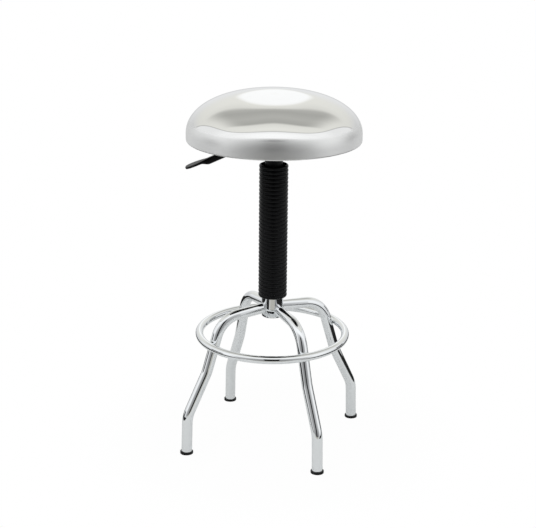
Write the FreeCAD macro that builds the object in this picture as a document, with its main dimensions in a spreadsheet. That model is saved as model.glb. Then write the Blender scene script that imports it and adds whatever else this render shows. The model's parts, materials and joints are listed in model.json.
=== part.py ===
import FreeCAD, Part
import math
import operator
import os

import Sketcher
from FreeCAD import Placement, Rotation, Vector

# A height-adjustable workshop stool: a contoured steel seat on a gas lift, with a ribbed
# dust bellows over the lift and a base of four bent tube legs tied by a foot ring.
# Millimetres, +Z up, the origin on the floor under the seat's centre, the sitter facing -Y
# and the release lever on -X. The seat is drawn at the top of its travel.

doc = FreeCAD.newDocument("MachinistStool")


# Driving dimensions

SIZES = {
    # Seat
    "seat_radius": 175.6,  # outside radius of the seat shell
    "seat_height": 645.2,  # underside of the seat's rim above the floor, seat raised
    "seat_wall": 13.4,  # upright part of the rim
    "seat_crown": 83.5,  # height of the crown above the rim, before it is dished
    "crown_fullness": 2.35,  # how far the crown stays full towards the rim
    "crown_shoulder": 2.1,  # how square the crown's shoulder is
    "dish_depth": 2.7,  # depth of the sitting hollow at its middle
    "dish_width": 55.0,  # half width of the sitting hollow, across the stool
    "dish_length": 59.0,  # half length of the sitting hollow, front to back
    "dish_back": -36.0,  # place of the hollow's middle, towards the back of the seat
    "thigh_depth": 2.6,  # depth of the two thigh troughs
    "thigh_offset": 64.0,  # thigh troughs' distance from the middle plane
    "thigh_width": 42.4,  # half width of a thigh trough
    "thigh_start": -33.0,  # where the troughs begin, towards the back of the seat
    "thigh_blend": 18.4,  # length over which they deepen
    "contour_reach": 0.85,  # share of the seat's radius within which the contour lies
    "shell_sheet": 1.5,  # thickness of the seat shell
    "rim_return": 9.0,  # width of the flange turned in under the rim
    "rim_bend": 2.5,  # outside radius of the bend into that flange
    # Seat underside
    "pan_sheet": 2.0,  # thickness of the pressed pan that closes the seat
    "pan_flange": 11.0,  # height of the pan's turned-up edge
    "bracket_side": 152.0,  # side of the square mounting flange
    "bracket_sheet": 2.5,  # thickness of the mounting bracket
    "housing_length": 96.0,  # inside length of the mechanism housing, across the stool
    "housing_width": 64.0,  # inside width of the mechanism housing, front to back
    "bracket_corner": 14.0,  # rounding of the flange's corners
    "housing_corner": 9.0,  # inside rounding of the housing's corners
    "housing_depth": 20.5,  # inside depth of the mechanism housing
    "bolt_spacing": 124.0,  # spacing of the four seat bolts, both ways
    "bolt_radius": 4.0,  # radius of a seat bolt
    "bolt_head_corner": 7.5,  # centre to corner of a bolt's hexagon head
    "bolt_head_height": 5.3,  # height of a bolt's head
    "nut_height": 6.5,  # height of a bolt's nut
    "bolt_flange_radius": 8.5,  # outside radius of the flange under a bolt's head
    "bolt_flange": 1.6,  # thickness of that flange
    "bolt_proud": 2.0,  # length of a bolt beyond its nut
    # Lift
    "stroke": 114.0,  # travel of the seat
    "cylinder_radius": 14.0,  # outside radius of the gas cylinder
    "cylinder_wall": 1.6,  # wall of the gas cylinder
    "cylinder_foot": 406.0,  # lower end of the gas cylinder, seat raised
    "taper_drop": 0.9,  # radius lost over the cylinder's tapered top
    "socket_radius": 18.2,  # outside radius of the seat socket
    "socket_length": 44.0,  # length of the seat socket below its bracket
    "sleeve_radius": 19.0,  # outside radius of the lift's outer tube
    "sleeve_wall": 1.6,  # wall of the lift's outer tube
    "sleeve_floor": 3.0,  # thickness of the outer tube's closed end
    "sleeve_foot": 277.0,  # lower end of the lift's outer tube
    "sleeve_top": 460.0,  # upper end of the lift's outer tube
    "bush_length": 62.0,  # length of the guide bush inside the outer tube
    "bush_lip": 2.2,  # thickness of the guide bush's lip
    "rod_radius": 5.0,  # radius of the piston rod
    "rod_tail_radius": 4.0,  # radius of the rod's turned-down lower end
    "rod_top": 450.0,  # upper end of the piston rod
    "piston_length": 12.0,  # length of the piston
    "race_radius": 11.0,  # outside radius of the thrust bearing
    "race_sheet": 1.5,  # thickness of a bearing race
    "ball_radius": 1.75,  # radius of a bearing ball
    "ball_circle": 8.0,  # radius of the circle of balls
    "ball_count": 6,  # number of bearing balls
    "cage_sheet": 1.0,  # thickness of the cage that spaces the balls
    "piston_ring": 2.4,  # height of the piston's ring
    "piston_nut": 5.0,  # height of the nut on the piston
    "piston_nut_corner": 7.5,  # centre to corner of the nut on the piston
    "rod_guide": 12.0,  # height of the rod's guide in the cylinder
    "rod_seal": 5.0,  # height of the rod's seal
    "valve_body": 24.0,  # height of the release valve's body
    "buffer_height": 4.0,  # height of the rubber end stop
    "clip_radius": 7.0,  # outside radius of the rod's retaining clip
    "clip_sheet": 1.3,  # thickness of the rod's retaining clip
    "valve_radius": 2.5,  # radius of the release pin
    "cylinder_proud": 5.0,  # height of the cylinder's top above the housing's floor
    "pin_proud": 4.0,  # height of the release pin above the cylinder's top
    "pin_chamfer": 0.5,  # chamfer on the release pin's top
    "cylinder_mouth": 1.5,  # clearance of the rod in the cylinder's rolled lower lip
    "valve_mouth": 1.2,  # clearance of the release pin in the cylinder's top
    "cylinder_chamfer": 0.8,  # chamfer on the cylinder's ends
    "piston_groove": 1.5,  # depth of the groove for the piston's ring
    "tail_length": 1.4,  # length of the rod's tail below its clip
    "clip_groove": 0.8,  # depth of the groove for the rod's clip
    "stop_chamfer": 0.6,  # chamfer on the rubber end stop
    "socket_chamfer": 1.0,  # chamfer on the socket's lower edge
    "valve_length": 30.0,  # length of the release pin
    # Bellows
    "rib_radius": 29.5,  # outside radius of the bellows
    "rib_depth": 3.0,  # depth of the grooves between ribs
    "socket_cover": 15.4,  # height of the seat socket that the bellows covers
    "rib_count": 34,  # number of ribs
    "rib_flank": 2.3,  # height of a rib's sloping side
    "hub_cover": 20.0,  # height of the hub that the bellows covers
    "bellows_wall": 1.2,  # thickness of the bellows at a groove
    "bellows_web": 2.0,  # thickness of the bellows' end walls
    "lip_floor": 0.3,  # height of the top cup's floor above the last groove
    "cuff_height": 8.0,  # height of the cuff that grips the hub
    "collar_height": 5.0,  # height of the collar that grips the seat socket
    # Base
    "hub_radius": 22.5,  # outside radius of the hub tube
    "hub_foot": 272.0,  # lower end of the hub tube
    "hub_top": 335.0,  # upper end of the hub tube
    "hub_taper": 0.9,  # radius gained by the hub's bore from bottom to top
    "hub_edge": 1.2,  # chamfer on the hub's ends
    "leg_radius": 11.0,  # outside radius of a leg tube
    "leg_wall": 1.6,  # wall of a leg tube
    "leg_turn": -61.9,  # direction of the front right leg, in degrees from +X
    "leg_root": 292.0,  # height of the leg's centre line at the hub's axis
    "root_slope": 3.7,  # fall of the leg as it leaves the hub, in degrees
    "shoulder_radius": 56.5,  # centre line radius of the upper bend
    "thigh_lean": 17.1,  # lean of the leg beside the foot ring, in degrees
    "splay_radius": 96.0,  # centre line radius of the bend below the foot ring
    "splay_height": 180.0,  # height at which that bend starts
    "shin_lean": 26.4,  # lean of the leg below that bend, in degrees
    "ankle_radius": 62.5,  # centre line radius of the lowest bend
    "foot_lean": 1.9,  # lean of the leg at the floor, in degrees
    "foot_circle": 198.4,  # radius of the circle of feet on the floor
    "ring_radius": 151.8,  # centre line radius of the foot ring
    "ring_tube": 8.0,  # radius of the foot ring's tube
    "ring_height": 233.7,  # height of the foot ring's centre line
    "glide_radius": 13.5,  # radius of a glide's flange
    "glide_flange": 4.6,  # height of a glide's flange
    "glide_stem": 26.0,  # length of a glide's stem inside the leg
    "stem_room": 2.0,  # depth of a leg's bore beyond the glide's stem
    "glide_edge": 0.8,  # chamfer on a glide's edges
    # Lever
    "pivot_offset": 30.0,  # distance of the lever's pivot from the lift's axis
    "pivot_radius": 3.0,  # radius of the lever's pivot pin
    "arm_radius": 4.0,  # radius of the lever's steel arm
    "arm_fall": 4.0,  # fall of the arm inside its housing, in degrees
    "arm_run": 22.5,  # length of the arm from its pivot to its bend
    "arm_bend": 24.0,  # centre line radius of that bend
    "lever_slope": 24.5,  # fall of the lever outside its bend, in degrees
    "slot_gap": 1.5,  # clearance of the arm in the housing's slot
    "arm_short": 6.0,  # distance of the arm's end from the end of the paddle's thick root
    "pin_proud_ends": 1.0,  # length of the pivot pin beyond each side of the housing
    "tongue_reach": 2.0,  # length of the tongue beyond the release pin
    "eye_radius": 6.0,  # outside radius of the eye around the pivot pin
    "tongue_width": 12.0,  # width of the tongue that presses the release pin
    "tongue_sheet": 4.0,  # thickness of that tongue
    "paddle_start": 40.0,  # inner end of the moulded paddle, from the bend
    "paddle_shoulder": 86.0,  # outer end of the paddle's thick root, from the bend
    "paddle_neck": 102.0,  # inner end of the paddle's blade, from the bend
    "paddle_end": 134.0,  # tip of the paddle, from the bend
    "paddle_width": 16.0,  # width of the paddle's root
    "paddle_depth": 12.8,  # depth of the paddle at its root
    "blade_start": 84.0,  # where the paddle starts to widen, from the bend
    "blade_spread": 112.0,  # where the paddle has its full width, from the bend
    "blade_width": 30.0,  # width of the paddle's blade
    "blade_depth": 5.4,  # thickness of the blade at its inner end
    "tip_depth": 4.4,  # thickness of the blade at its tip
    "tip_rise": 1.8,  # rise of the blade's top towards its tip
    "tip_corner": 13.5,  # rounding of the tip, seen from above
    # Fits
    "weld_gap": 0.1,  # gap closed by weld, between a tube and what it is welded to
    "seat_gap": 0.05,  # clearance of a part seated in or on another
    "running_gap": 0.06,  # radial clearance of a shaft in its bore
    "overcut": 1.0,  # length by which a cut runs past the surface it opens
    "free_gap": 0.4,  # clearance where parts move past each other without a fit
}

sheet = doc.addObject("Spreadsheet::Sheet", "Sizes")
for row, (alias, number) in enumerate(SIZES.items(), start=1):
    sheet.set("A%d" % row, alias.replace("_", " "))
    sheet.set("B%d" % row, str(number))
    sheet.setAlias("B%d" % row, alias)
doc.recompute()


OPERATIONS = {"+": operator.add, "-": operator.sub, "*": operator.mul, "/": operator.truediv}


class Size:
    """A number, with the expression on the sheet that it comes from."""

    def __init__(self, value, text):
        self.value = value
        self.text = text

    def joined(self, sign, first, second):
        first, second = as_size(first), as_size(second)
        value = OPERATIONS[sign](first.value, second.value)
        return Size(value, "(%s %s %s)" % (first.text, sign, second.text))

    def __add__(self, other):
        return self.joined("+", self, other)

    def __radd__(self, other):
        return self.joined("+", other, self)

    def __sub__(self, other):
        return self.joined("-", self, other)

    def __rsub__(self, other):
        return self.joined("-", other, self)

    def __mul__(self, other):
        return self.joined("*", self, other)

    def __rmul__(self, other):
        return self.joined("*", other, self)

    def __truediv__(self, other):
        return self.joined("/", self, other)

    def __rtruediv__(self, other):
        return self.joined("/", other, self)

    def __neg__(self):
        return self.joined("-", 0, self)


def as_size(number):
    if isinstance(number, Size):
        return number
    return Size(float(number), repr(float(number)))


def size(alias):
    return Size(float(sheet.get(alias)), "Sizes." + alias)


def sine(angle):
    return Size(math.sin(math.radians(angle.value)), "sin(%s)" % angle.text)


def cosine(angle):
    return Size(math.cos(math.radians(angle.value)), "cos(%s)" % angle.text)


def tangent(angle):
    return Size(math.tan(math.radians(angle.value)), "tan(%s)" % angle.text)


def bind(item, path, number):
    """Ties one property of an object to the sheet."""
    item.setExpression(path, as_size(number).text)


class Sizes:
    """Every alias of the sheet as an attribute, so that mm.hub_radius reads as a size."""

    def __getattr__(self, alias):
        return size(alias)


mm = Sizes()
pieces = []


def finish(item, label):
    """Names a finished piece and puts it on the list that is written out."""
    item.Label = label
    pieces.append(item)
    return item


def place(item, x=0, y=0, z=0, axis=Vector(0, 0, 1), angle=0):
    """Gives a piece its Placement, tied to the sheet."""
    spot = Vector(as_size(x).value, as_size(y).value, as_size(z).value)
    item.Placement = Placement(spot, Rotation(axis, as_size(angle).value))
    for path, number in (("x", x), ("y", y), ("z", z)):
        if isinstance(number, Size):
            bind(item, "Placement.Base." + path, number)
    if isinstance(angle, Size):
        bind(item, "Placement.Rotation.Angle", angle)
    return item


# Sketches and features that several pieces share

def origin_plane(body, role):
    return [item for item in body.Origin.OriginFeatures if item.Role == role][0]


def sketch_on(body, role, name):
    sketch = body.newObject("Sketcher::SketchObject", body.Name + "_" + name)
    sketch.AttachmentSupport = [(origin_plane(body, role), "")]
    sketch.MapMode = "FlatFace"
    return sketch


def pin_point(sketch, shape, end, across, up):
    """Holds one sketch point at its distances from the origin."""
    for kind, axis, number in (("DistanceX", -2, across), ("DistanceY", -1, up)):
        if not isinstance(number, Size) and number == 0:
            sketch.addConstraint(Sketcher.Constraint("PointOnObject", shape, end, axis))
            continue
        number = as_size(number)
        index = sketch.addConstraint(Sketcher.Constraint(kind, -1, 1, shape, end, number.value))
        sketch.setExpression("Constraints[%d]" % index, number.text)


def polygon(sketch, corners):
    """A closed outline whose every corner is tied to the sheet."""
    points = [Vector(as_size(a).value, as_size(b).value, 0) for a, b in corners]
    lines = []
    for start, end in zip(points, points[1:] + points[:1]):
        lines.append(sketch.addGeometry(Part.LineSegment(start, end), False))
    for line, following in zip(lines, lines[1:] + lines[:1]):
        sketch.addConstraint(Sketcher.Constraint("Coincident", line, 2, following, 1))
    for line, (across, up) in zip(lines, corners):
        pin_point(sketch, line, 1, across, up)
    return lines


def rounded_rectangle(sketch, half_x, half_y, radius):
    """A rectangle about the origin with round corners, tied to the sheet."""
    half_x, half_y, radius = as_size(half_x), as_size(half_y), as_size(radius)
    arcs = []
    for quarter, (side, end) in enumerate(((1, 1), (-1, 1), (-1, -1), (1, -1))):
        on_side = (side * half_x, end * (half_y - radius))
        on_end = (side * (half_x - radius), end * half_y)
        first, last = (on_side, on_end) if quarter % 2 == 0 else (on_end, on_side)
        centre = Vector(on_end[0].value, on_side[1].value, 0)
        round_corner = Part.Circle(centre, Vector(0, 0, 1), radius.value)
        turned_from = math.pi / 2.0 * quarter
        arc = Part.ArcOfCircle(round_corner, turned_from, turned_from + math.pi / 2.0)
        arcs.append(sketch.addGeometry(arc, False))
        index = sketch.addConstraint(Sketcher.Constraint("Radius", arcs[-1], radius.value))
        sketch.setExpression("Constraints[%d]" % index, radius.text)
        pin_point(sketch, arcs[-1], 1, first[0], first[1])
        pin_point(sketch, arcs[-1], 2, last[0], last[1])
    for arc, following in zip(arcs, arcs[1:] + arcs[:1]):
        start, end = sketch.getPoint(arc, 2), sketch.getPoint(following, 1)
        line = sketch.addGeometry(Part.LineSegment(start, end), False)
        sketch.addConstraint(Sketcher.Constraint("Coincident", line, 1, arc, 2))
        sketch.addConstraint(Sketcher.Constraint("Coincident", line, 2, following, 1))


def circle(sketch, across, up, radius):
    """A circle whose centre and radius are tied to the sheet."""
    radius = as_size(radius)
    centre = Vector(as_size(across).value, as_size(up).value, 0)
    shape = sketch.addGeometry(Part.Circle(centre, Vector(0, 0, 1), radius.value), False)
    index = sketch.addConstraint(Sketcher.Constraint("Radius", shape, radius.value))
    sketch.setExpression("Constraints[%d]" % index, radius.text)
    pin_point(sketch, shape, 3, across, up)
    return shape


def turn(label, corners):
    """An outline of radius and height, revolved about the lift's axis."""
    body = doc.addObject("PartDesign::Body", label)
    outline = sketch_on(body, "XZ_Plane", "outline")
    polygon(outline, corners)
    revolve = body.newObject("PartDesign::Revolution", label + "_revolve")
    revolve.Profile = outline
    revolve.ReferenceAxis = (outline, ["V_Axis"])
    revolve.Angle = 360
    return body


def turned(label, corners):
    """A finished piece that is round about the lift's axis."""
    return finish(turn(label, corners), label)


def sleeve(inner, outer, low, high, chamfer=0):
    """Outline of a plain ring or tube, with its outer corners broken."""
    if not isinstance(chamfer, Size) and chamfer == 0:
        return [(inner, low), (outer, low), (outer, high), (inner, high)]
    return [
        (inner, low), (outer - chamfer, low), (outer, low + chamfer),
        (outer, high - chamfer), (outer - chamfer, high), (inner, high),
    ]


def pad(body, sketch, length, name, both_ways=False, reverse=False):
    feature = body.newObject("PartDesign::Pad", body.Name + "_" + name)
    feature.Profile = sketch
    feature.SideType = "Symmetric" if both_ways else "One side"
    feature.Reversed = reverse
    feature.Length = as_size(length).value
    bind(feature, "Length", length)
    return feature


def pocket(body, sketch, length, name, both_ways=False, reverse=False):
    """Cuts a sketch into a body, and proves that it cut something."""
    doc.recompute()
    before = body.Shape.Volume
    feature = body.newObject("PartDesign::Pocket", body.Name + "_" + name)
    feature.Profile = sketch
    feature.SideType = "Symmetric" if both_ways else "One side"
    feature.Reversed = reverse
    feature.Length = as_size(length).value
    bind(feature, "Length", length)
    doc.recompute()
    if not body.Shape.Volume < before - 0.01:
        raise RuntimeError("%s cut nothing" % feature.Name)
    return feature


def group(label, members):
    """Several separate like solids kept as one piece."""
    bundle = doc.addObject("Part::Compound", label)
    bundle.Links = members
    return finish(bundle, label)


# Heights that several pieces share, worked out from the driving dimensions

bore_top = mm.sleeve_radius + mm.seat_gap
bore_foot = bore_top - mm.hub_taper
lower_race_foot = mm.sleeve_foot + mm.sleeve_floor
lower_race_top = lower_race_foot + mm.race_sheet
upper_race_foot = lower_race_top + 2.0 * mm.ball_radius + mm.seat_gap
upper_race_top = upper_race_foot + mm.race_sheet
cylinder_bore = mm.cylinder_radius - mm.cylinder_wall
pan_foot = mm.seat_height + mm.shell_sheet + mm.seat_gap
bracket_top = pan_foot
bracket_foot = bracket_top - mm.bracket_sheet
housing_floor = bracket_top - mm.housing_depth
housing_foot = housing_floor - mm.bracket_sheet
socket_foot = housing_foot - mm.socket_length
bellows_foot = mm.hub_top - mm.hub_cover
bellows_top = socket_foot + mm.socket_cover
rib_pitch = (bellows_top - bellows_foot) / mm.rib_count
cylinder_top = housing_floor + mm.cylinder_proud
pin_top = cylinder_top + mm.pin_proud
tongue_foot = pin_top + mm.seat_gap
pivot_height = tongue_foot + mm.tongue_sheet / 2.0


# Base: hub

def make_hub():
    outer, edge = mm.hub_radius, mm.hub_edge
    return turned("hub_tube", [
        (bore_foot, mm.hub_foot), (outer - edge, mm.hub_foot), (outer, mm.hub_foot + edge),
        (outer, mm.hub_top - edge), (outer - edge, mm.hub_top), (bore_top, mm.hub_top),
    ])


# Base: legs

def leg_path(body):
    """Centre line of a bent leg, in the upright plane through the hub's axis."""
    path = sketch_on(body, "XZ_Plane", "path")
    leans = [as_size(mm.root_slope), 90.0 - mm.thigh_lean, 90.0 - mm.shin_lean, 90.0 - mm.foot_lean]
    bends = [mm.shoulder_radius, mm.splay_radius, mm.ankle_radius]
    falls = [lean.value for lean in leans]

    def heading(fall):
        return Vector(math.cos(math.radians(fall)), -math.sin(math.radians(fall)), 0)

    def crossing(first, first_way, second, second_way):
        span = second - first
        share = (span.x * second_way.y - span.y * second_way.x)
        share /= first_way.x * second_way.y - first_way.y * second_way.x
        return first + first_way * share

    # The four straight lines, each by one point that it passes through
    ways = [heading(fall) for fall in falls]
    root = Vector(0, mm.leg_root.value, 0)
    ring = Vector(mm.ring_radius.value, mm.ring_height.value, 0)
    ring_gap = mm.ring_tube + mm.leg_radius + mm.weld_gap
    beside = ring - Vector(-ways[1].y, ways[1].x, 0) * ring_gap.value
    foot = Vector(mm.foot_circle.value, mm.glide_flange.value, 0)
    first_corner = crossing(root, ways[0], beside, ways[1])
    tangent_length = bends[1].value * math.tan(math.radians((falls[1] - falls[2]) / 2.0))
    drop = (beside.y - mm.splay_height.value) / -ways[1].y
    second_corner = beside + ways[1] * (drop + tangent_length)
    third_corner = crossing(second_corner, ways[2], foot, ways[3])
    corners = [root, first_corner, second_corner, third_corner, foot]

    # Straight runs trimmed to the bends between them
    trims = [0.0]
    for bend, before, after in zip(bends, falls, falls[1:]):
        trims.append(bend.value * math.tan(math.radians(abs(after - before) / 2.0)))
    trims.append(0.0)
    runs = []
    for index, way in enumerate(ways):
        start = corners[index] + way * trims[index]
        end = corners[index + 1] - way * trims[index + 1]
        runs.append(path.addGeometry(Part.LineSegment(start, end), False))
    for index, bend in enumerate(bends):
        corner, turn = corners[index + 1], falls[index + 1] - falls[index]
        start = corner - ways[index] * trims[index + 1]
        end = corner + ways[index + 1] * trims[index + 1]
        towards = (ways[index + 1] - ways[index]).normalize()
        centre = corner + towards * (bend.value / math.cos(math.radians(turn / 2.0)))
        middle = centre + (corner - centre).normalize() * bend.value
        arc = path.addGeometry(Part.Arc(start, middle, end), False)
        flipped = path.getPoint(arc, 1).sub(start).Length > 0.001
        first_end, last_end = (2, 1) if flipped else (1, 2)
        path.addConstraint(Sketcher.Constraint("Tangent", runs[index], 2, arc, first_end))
        path.addConstraint(Sketcher.Constraint("Tangent", arc, last_end, runs[index + 1], 1))
        number = path.addConstraint(Sketcher.Constraint("Radius", arc, bend.value))
        path.setExpression("Constraints[%d]" % number, bend.text)

    # What fixes the lines: their leans, the root, the ring that the leg touches and the foot
    for run, lean in zip(runs, leans):
        angle = Sketcher.Constraint("Angle", run, -math.radians(lean.value))
        number = path.addConstraint(angle)
        path.setExpression("Constraints[%d]" % number, (-lean).text)
    pin_point(path, runs[0], 1, 0, mm.leg_root)
    pin_point(path, runs[3], 2, mm.foot_circle, mm.glide_flange)
    centre = path.addGeometry(Part.Point(ring), True)
    pin_point(path, centre, 1, mm.ring_radius, mm.ring_height)
    touch = Sketcher.Constraint("Distance", centre, 1, runs[1], ring_gap.value)
    number = path.addConstraint(touch)
    path.setExpression("Constraints[%d]" % number, ring_gap.text)
    height = Sketcher.Constraint("DistanceY", -1, 1, runs[1], 2, mm.splay_height.value)
    number = path.addConstraint(height)
    path.setExpression("Constraints[%d]" % number, mm.splay_height.text)
    return path, len(runs) + len(bends)


def tilted(sketch, corners):
    """An outline of radius and height about the lower end of a leg's leaning centre line."""
    lean = mm.foot_lean
    moved = []
    for out, up in corners:
        across = mm.foot_circle + out * cosine(lean) - up * sine(lean)
        moved.append((across, mm.glide_flange + out * sine(lean) + up * cosine(lean)))
    lines = polygon(sketch, moved)
    axis = sketch.addGeometry(Part.LineSegment(Vector(0, 0, 0), Vector(0, 1, 0)), True)
    sketch.addConstraint(Sketcher.Constraint("Coincident", axis, 1, lines[0], 1))
    sketch.addConstraint(Sketcher.Constraint("Coincident", axis, 2, lines[-1], 1))


def revolved(body, sketch, name, kind):
    """A full turn of an outline about the construction line in its own sketch."""
    doc.recompute()
    before = body.Shape.Volume if kind == "Groove" else 0.0
    feature = body.newObject("PartDesign::" + kind, body.Name + "_" + name)
    feature.Profile = sketch
    feature.ReferenceAxis = (sketch, ["Axis0"])
    feature.Angle = 360
    doc.recompute()
    if kind == "Groove" and not body.Shape.Volume < before - 0.01:
        raise RuntimeError("%s cut nothing" % feature.Name)


def make_leg(label, azimuth):
    """One bent tube, swept along its path, bored for its glide and coped to the hub."""
    body = doc.addObject("PartDesign::Body", label)
    path, segments = leg_path(body)
    section = sketch_on(body, "YZ_Plane", "section")
    section.AttachmentOffset = Placement(
        Vector(0, mm.leg_root.value, 0), Rotation(Vector(1, 0, 0), mm.root_slope.value))
    bind(section, "AttachmentOffset.Base.y", mm.leg_root)
    bind(section, "AttachmentOffset.Rotation.Angle", mm.root_slope)
    circle(section, 0, 0, mm.leg_radius)
    doc.recompute()
    sweep = body.newObject("PartDesign::AdditivePipe", label + "_sweep")
    sweep.Profile = section
    sweep.Spine = (path, ["Edge%d" % (n + 1) for n in range(segments)])
    doc.recompute()
    bore = sketch_on(body, "XZ_Plane", "foot_bore")
    wall = mm.leg_radius - mm.leg_wall
    end = mm.glide_stem + mm.stem_room
    tilted(bore, [(0, -mm.overcut), (wall, -mm.overcut), (wall, end), (0, end)])
    revolved(body, bore, "foot_bore_cut", "Groove")
    cope = sketch_on(body, "XY_Plane", "cope")
    circle(cope, 0, 0, mm.hub_radius + mm.weld_gap)
    pocket(body, cope, 4.0 * mm.leg_root, "cope_cut", both_ways=True)
    return finish(place(body, angle=azimuth), label)


def make_glide(label, azimuth):
    """Moulded foot: a stem inside the leg, a flange under it, cut flat at the floor."""
    body = doc.addObject("PartDesign::Body", label)
    outline = sketch_on(body, "XZ_Plane", "outline")
    stem_radius = mm.leg_radius - mm.leg_wall - mm.seat_gap
    sunk = -(mm.glide_flange + mm.glide_radius * sine(mm.foot_lean) + mm.overcut)
    edge = mm.glide_edge
    tilted(outline, [
        (0, sunk), (mm.glide_radius, sunk), (mm.glide_radius, -edge),
        (mm.glide_radius - edge, 0), (stem_radius, 0), (stem_radius, mm.glide_stem - edge),
        (stem_radius - edge, mm.glide_stem), (0, mm.glide_stem),
    ])
    revolved(body, outline, "turned", "Revolution")
    floor = sketch_on(body, "XY_Plane", "floor")
    circle(floor, mm.foot_circle, 0, 2.0 * mm.glide_radius)
    pocket(body, floor, 2.0 * mm.glide_radius, "floor_cut")
    return finish(place(body, angle=azimuth), label)


def make_base():
    corners = ("front_right", "rear_right", "rear_left", "front_left")
    for index, corner in enumerate(corners):
        azimuth = mm.leg_turn + 90.0 * index
        make_leg("leg_" + corner, azimuth)
        make_glide("glide_" + corner, azimuth)


def make_foot_ring():
    ring = doc.addObject("Part::Torus", "foot_ring")
    bind(ring, "Radius1", mm.ring_radius)
    bind(ring, "Radius2", mm.ring_tube)
    return finish(place(ring, z=mm.ring_height), "foot_ring")


# Lift: what stays with the base

def make_outer_tube():
    bore = mm.sleeve_radius - mm.sleeve_wall
    lift = (mm.sleeve_foot - mm.hub_foot) / (mm.hub_top - mm.hub_foot)
    foot_radius = mm.sleeve_radius - mm.hub_taper + mm.hub_taper * lift
    hole = mm.rod_tail_radius + mm.free_gap
    floor = mm.sleeve_foot + mm.sleeve_floor
    turned("lift_outer_tube", [
        (hole, mm.sleeve_foot), (foot_radius, mm.sleeve_foot), (mm.sleeve_radius, mm.hub_top),
        (mm.sleeve_radius, mm.sleeve_top), (bore, mm.sleeve_top), (bore, floor), (hole, floor),
    ])


def make_guide_bush():
    outside = mm.sleeve_radius - mm.sleeve_wall - mm.seat_gap
    bore = mm.cylinder_radius + mm.running_gap
    lip_top = mm.sleeve_top + mm.bush_lip
    turned("guide_bush", [
        (bore, mm.sleeve_top - mm.bush_length), (outside, mm.sleeve_top - mm.bush_length),
        (outside, mm.sleeve_top), (mm.sleeve_radius, mm.sleeve_top),
        (mm.sleeve_radius, lip_top), (bore, lip_top),
    ])


def make_bearing():
    """Thrust bearing that the piston rod turns on, at the foot of the outer tube."""
    tail_bore = mm.rod_tail_radius + mm.running_gap
    turned("bearing_race_lower", sleeve(tail_bore + mm.free_gap, mm.race_radius, lower_race_foot, lower_race_top))
    turned("bearing_race_upper", sleeve(tail_bore, mm.race_radius, upper_race_foot, upper_race_top))
    middle = (lower_race_top + upper_race_foot) / 2.0
    half = mm.cage_sheet / 2.0
    members = [turn("bearing_cage", sleeve(
        tail_bore + mm.free_gap, mm.race_radius - mm.free_gap, middle - half, middle + half))]
    for index in range(int(mm.ball_count.value)):
        ball = doc.addObject("Part::Sphere", "bearing_ball_%d" % (index + 1))
        bind(ball, "Radius", mm.ball_radius)
        angle = 360.0 * index / mm.ball_count
        members.append(place(ball, mm.ball_circle * cosine(angle), mm.ball_circle * sine(angle), middle))
    caged = doc.addObject("Part::MultiFuse", "bearing_ball_cage")
    caged.Shapes = members
    finish(caged, "bearing_ball_cage")


def make_bellows():
    """Ribbed sleeve: each rib runs from groove to groove through four circles."""
    foot, pitch, count = bellows_foot.value, rib_pitch.value, int(mm.rib_count.value)
    crest, groove = mm.rib_radius.value, mm.rib_radius.value - mm.rib_depth.value
    flank = mm.rib_flank.value
    circles = [(groove, foot)]
    for rib in range(count):
        low, high = foot + rib * pitch, foot + (rib + 1) * pitch
        last = rib == count - 1
        circles.append((crest, low + flank))
        circles.append((crest, high if last else high - flank))
        if not last:
            circles.append((groove, high))
    wires = [Part.Wire(Part.makeCircle(radius, Vector(0, 0, z))) for radius, z in circles]
    ribs = doc.addObject("Part::Feature", "bellows_ribs")
    ribs.Shape = Part.makeLoft(wires, True, True)
    bore = mm.rib_radius - mm.rib_depth - mm.bellows_wall
    cup = mm.rib_radius - mm.bellows_wall
    cup_floor = bellows_top - rib_pitch + mm.lip_floor
    web = cup_floor - mm.bellows_web
    grip = mm.hub_radius + mm.seat_gap
    neck = mm.socket_radius + mm.seat_gap
    foot_web = bellows_foot + mm.bellows_web
    cuff_top = bellows_foot + mm.cuff_height
    below, above = bellows_foot - mm.overcut, bellows_top + mm.overcut
    core = turn("bellows_core", [
        (0, below), (grip, below), (grip, cuff_top),
        (grip + mm.bellows_wall, cuff_top), (grip + mm.bellows_wall, foot_web),
        (bore, foot_web), (bore, web), (neck + mm.bellows_wall, web),
        (neck + mm.bellows_wall, web - mm.collar_height), (neck, web - mm.collar_height),
        (neck, cup_floor), (bore, cup_floor), (cup, cup_floor + mm.rib_flank),
        (cup, above), (0, above),
    ])
    bellows = doc.addObject("Part::Cut", "dust_bellows")
    bellows.Base = ribs
    bellows.Tool = core
    return finish(bellows, "dust_bellows")


# Lift: the piston rod, which turns on the thrust bearing

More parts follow.
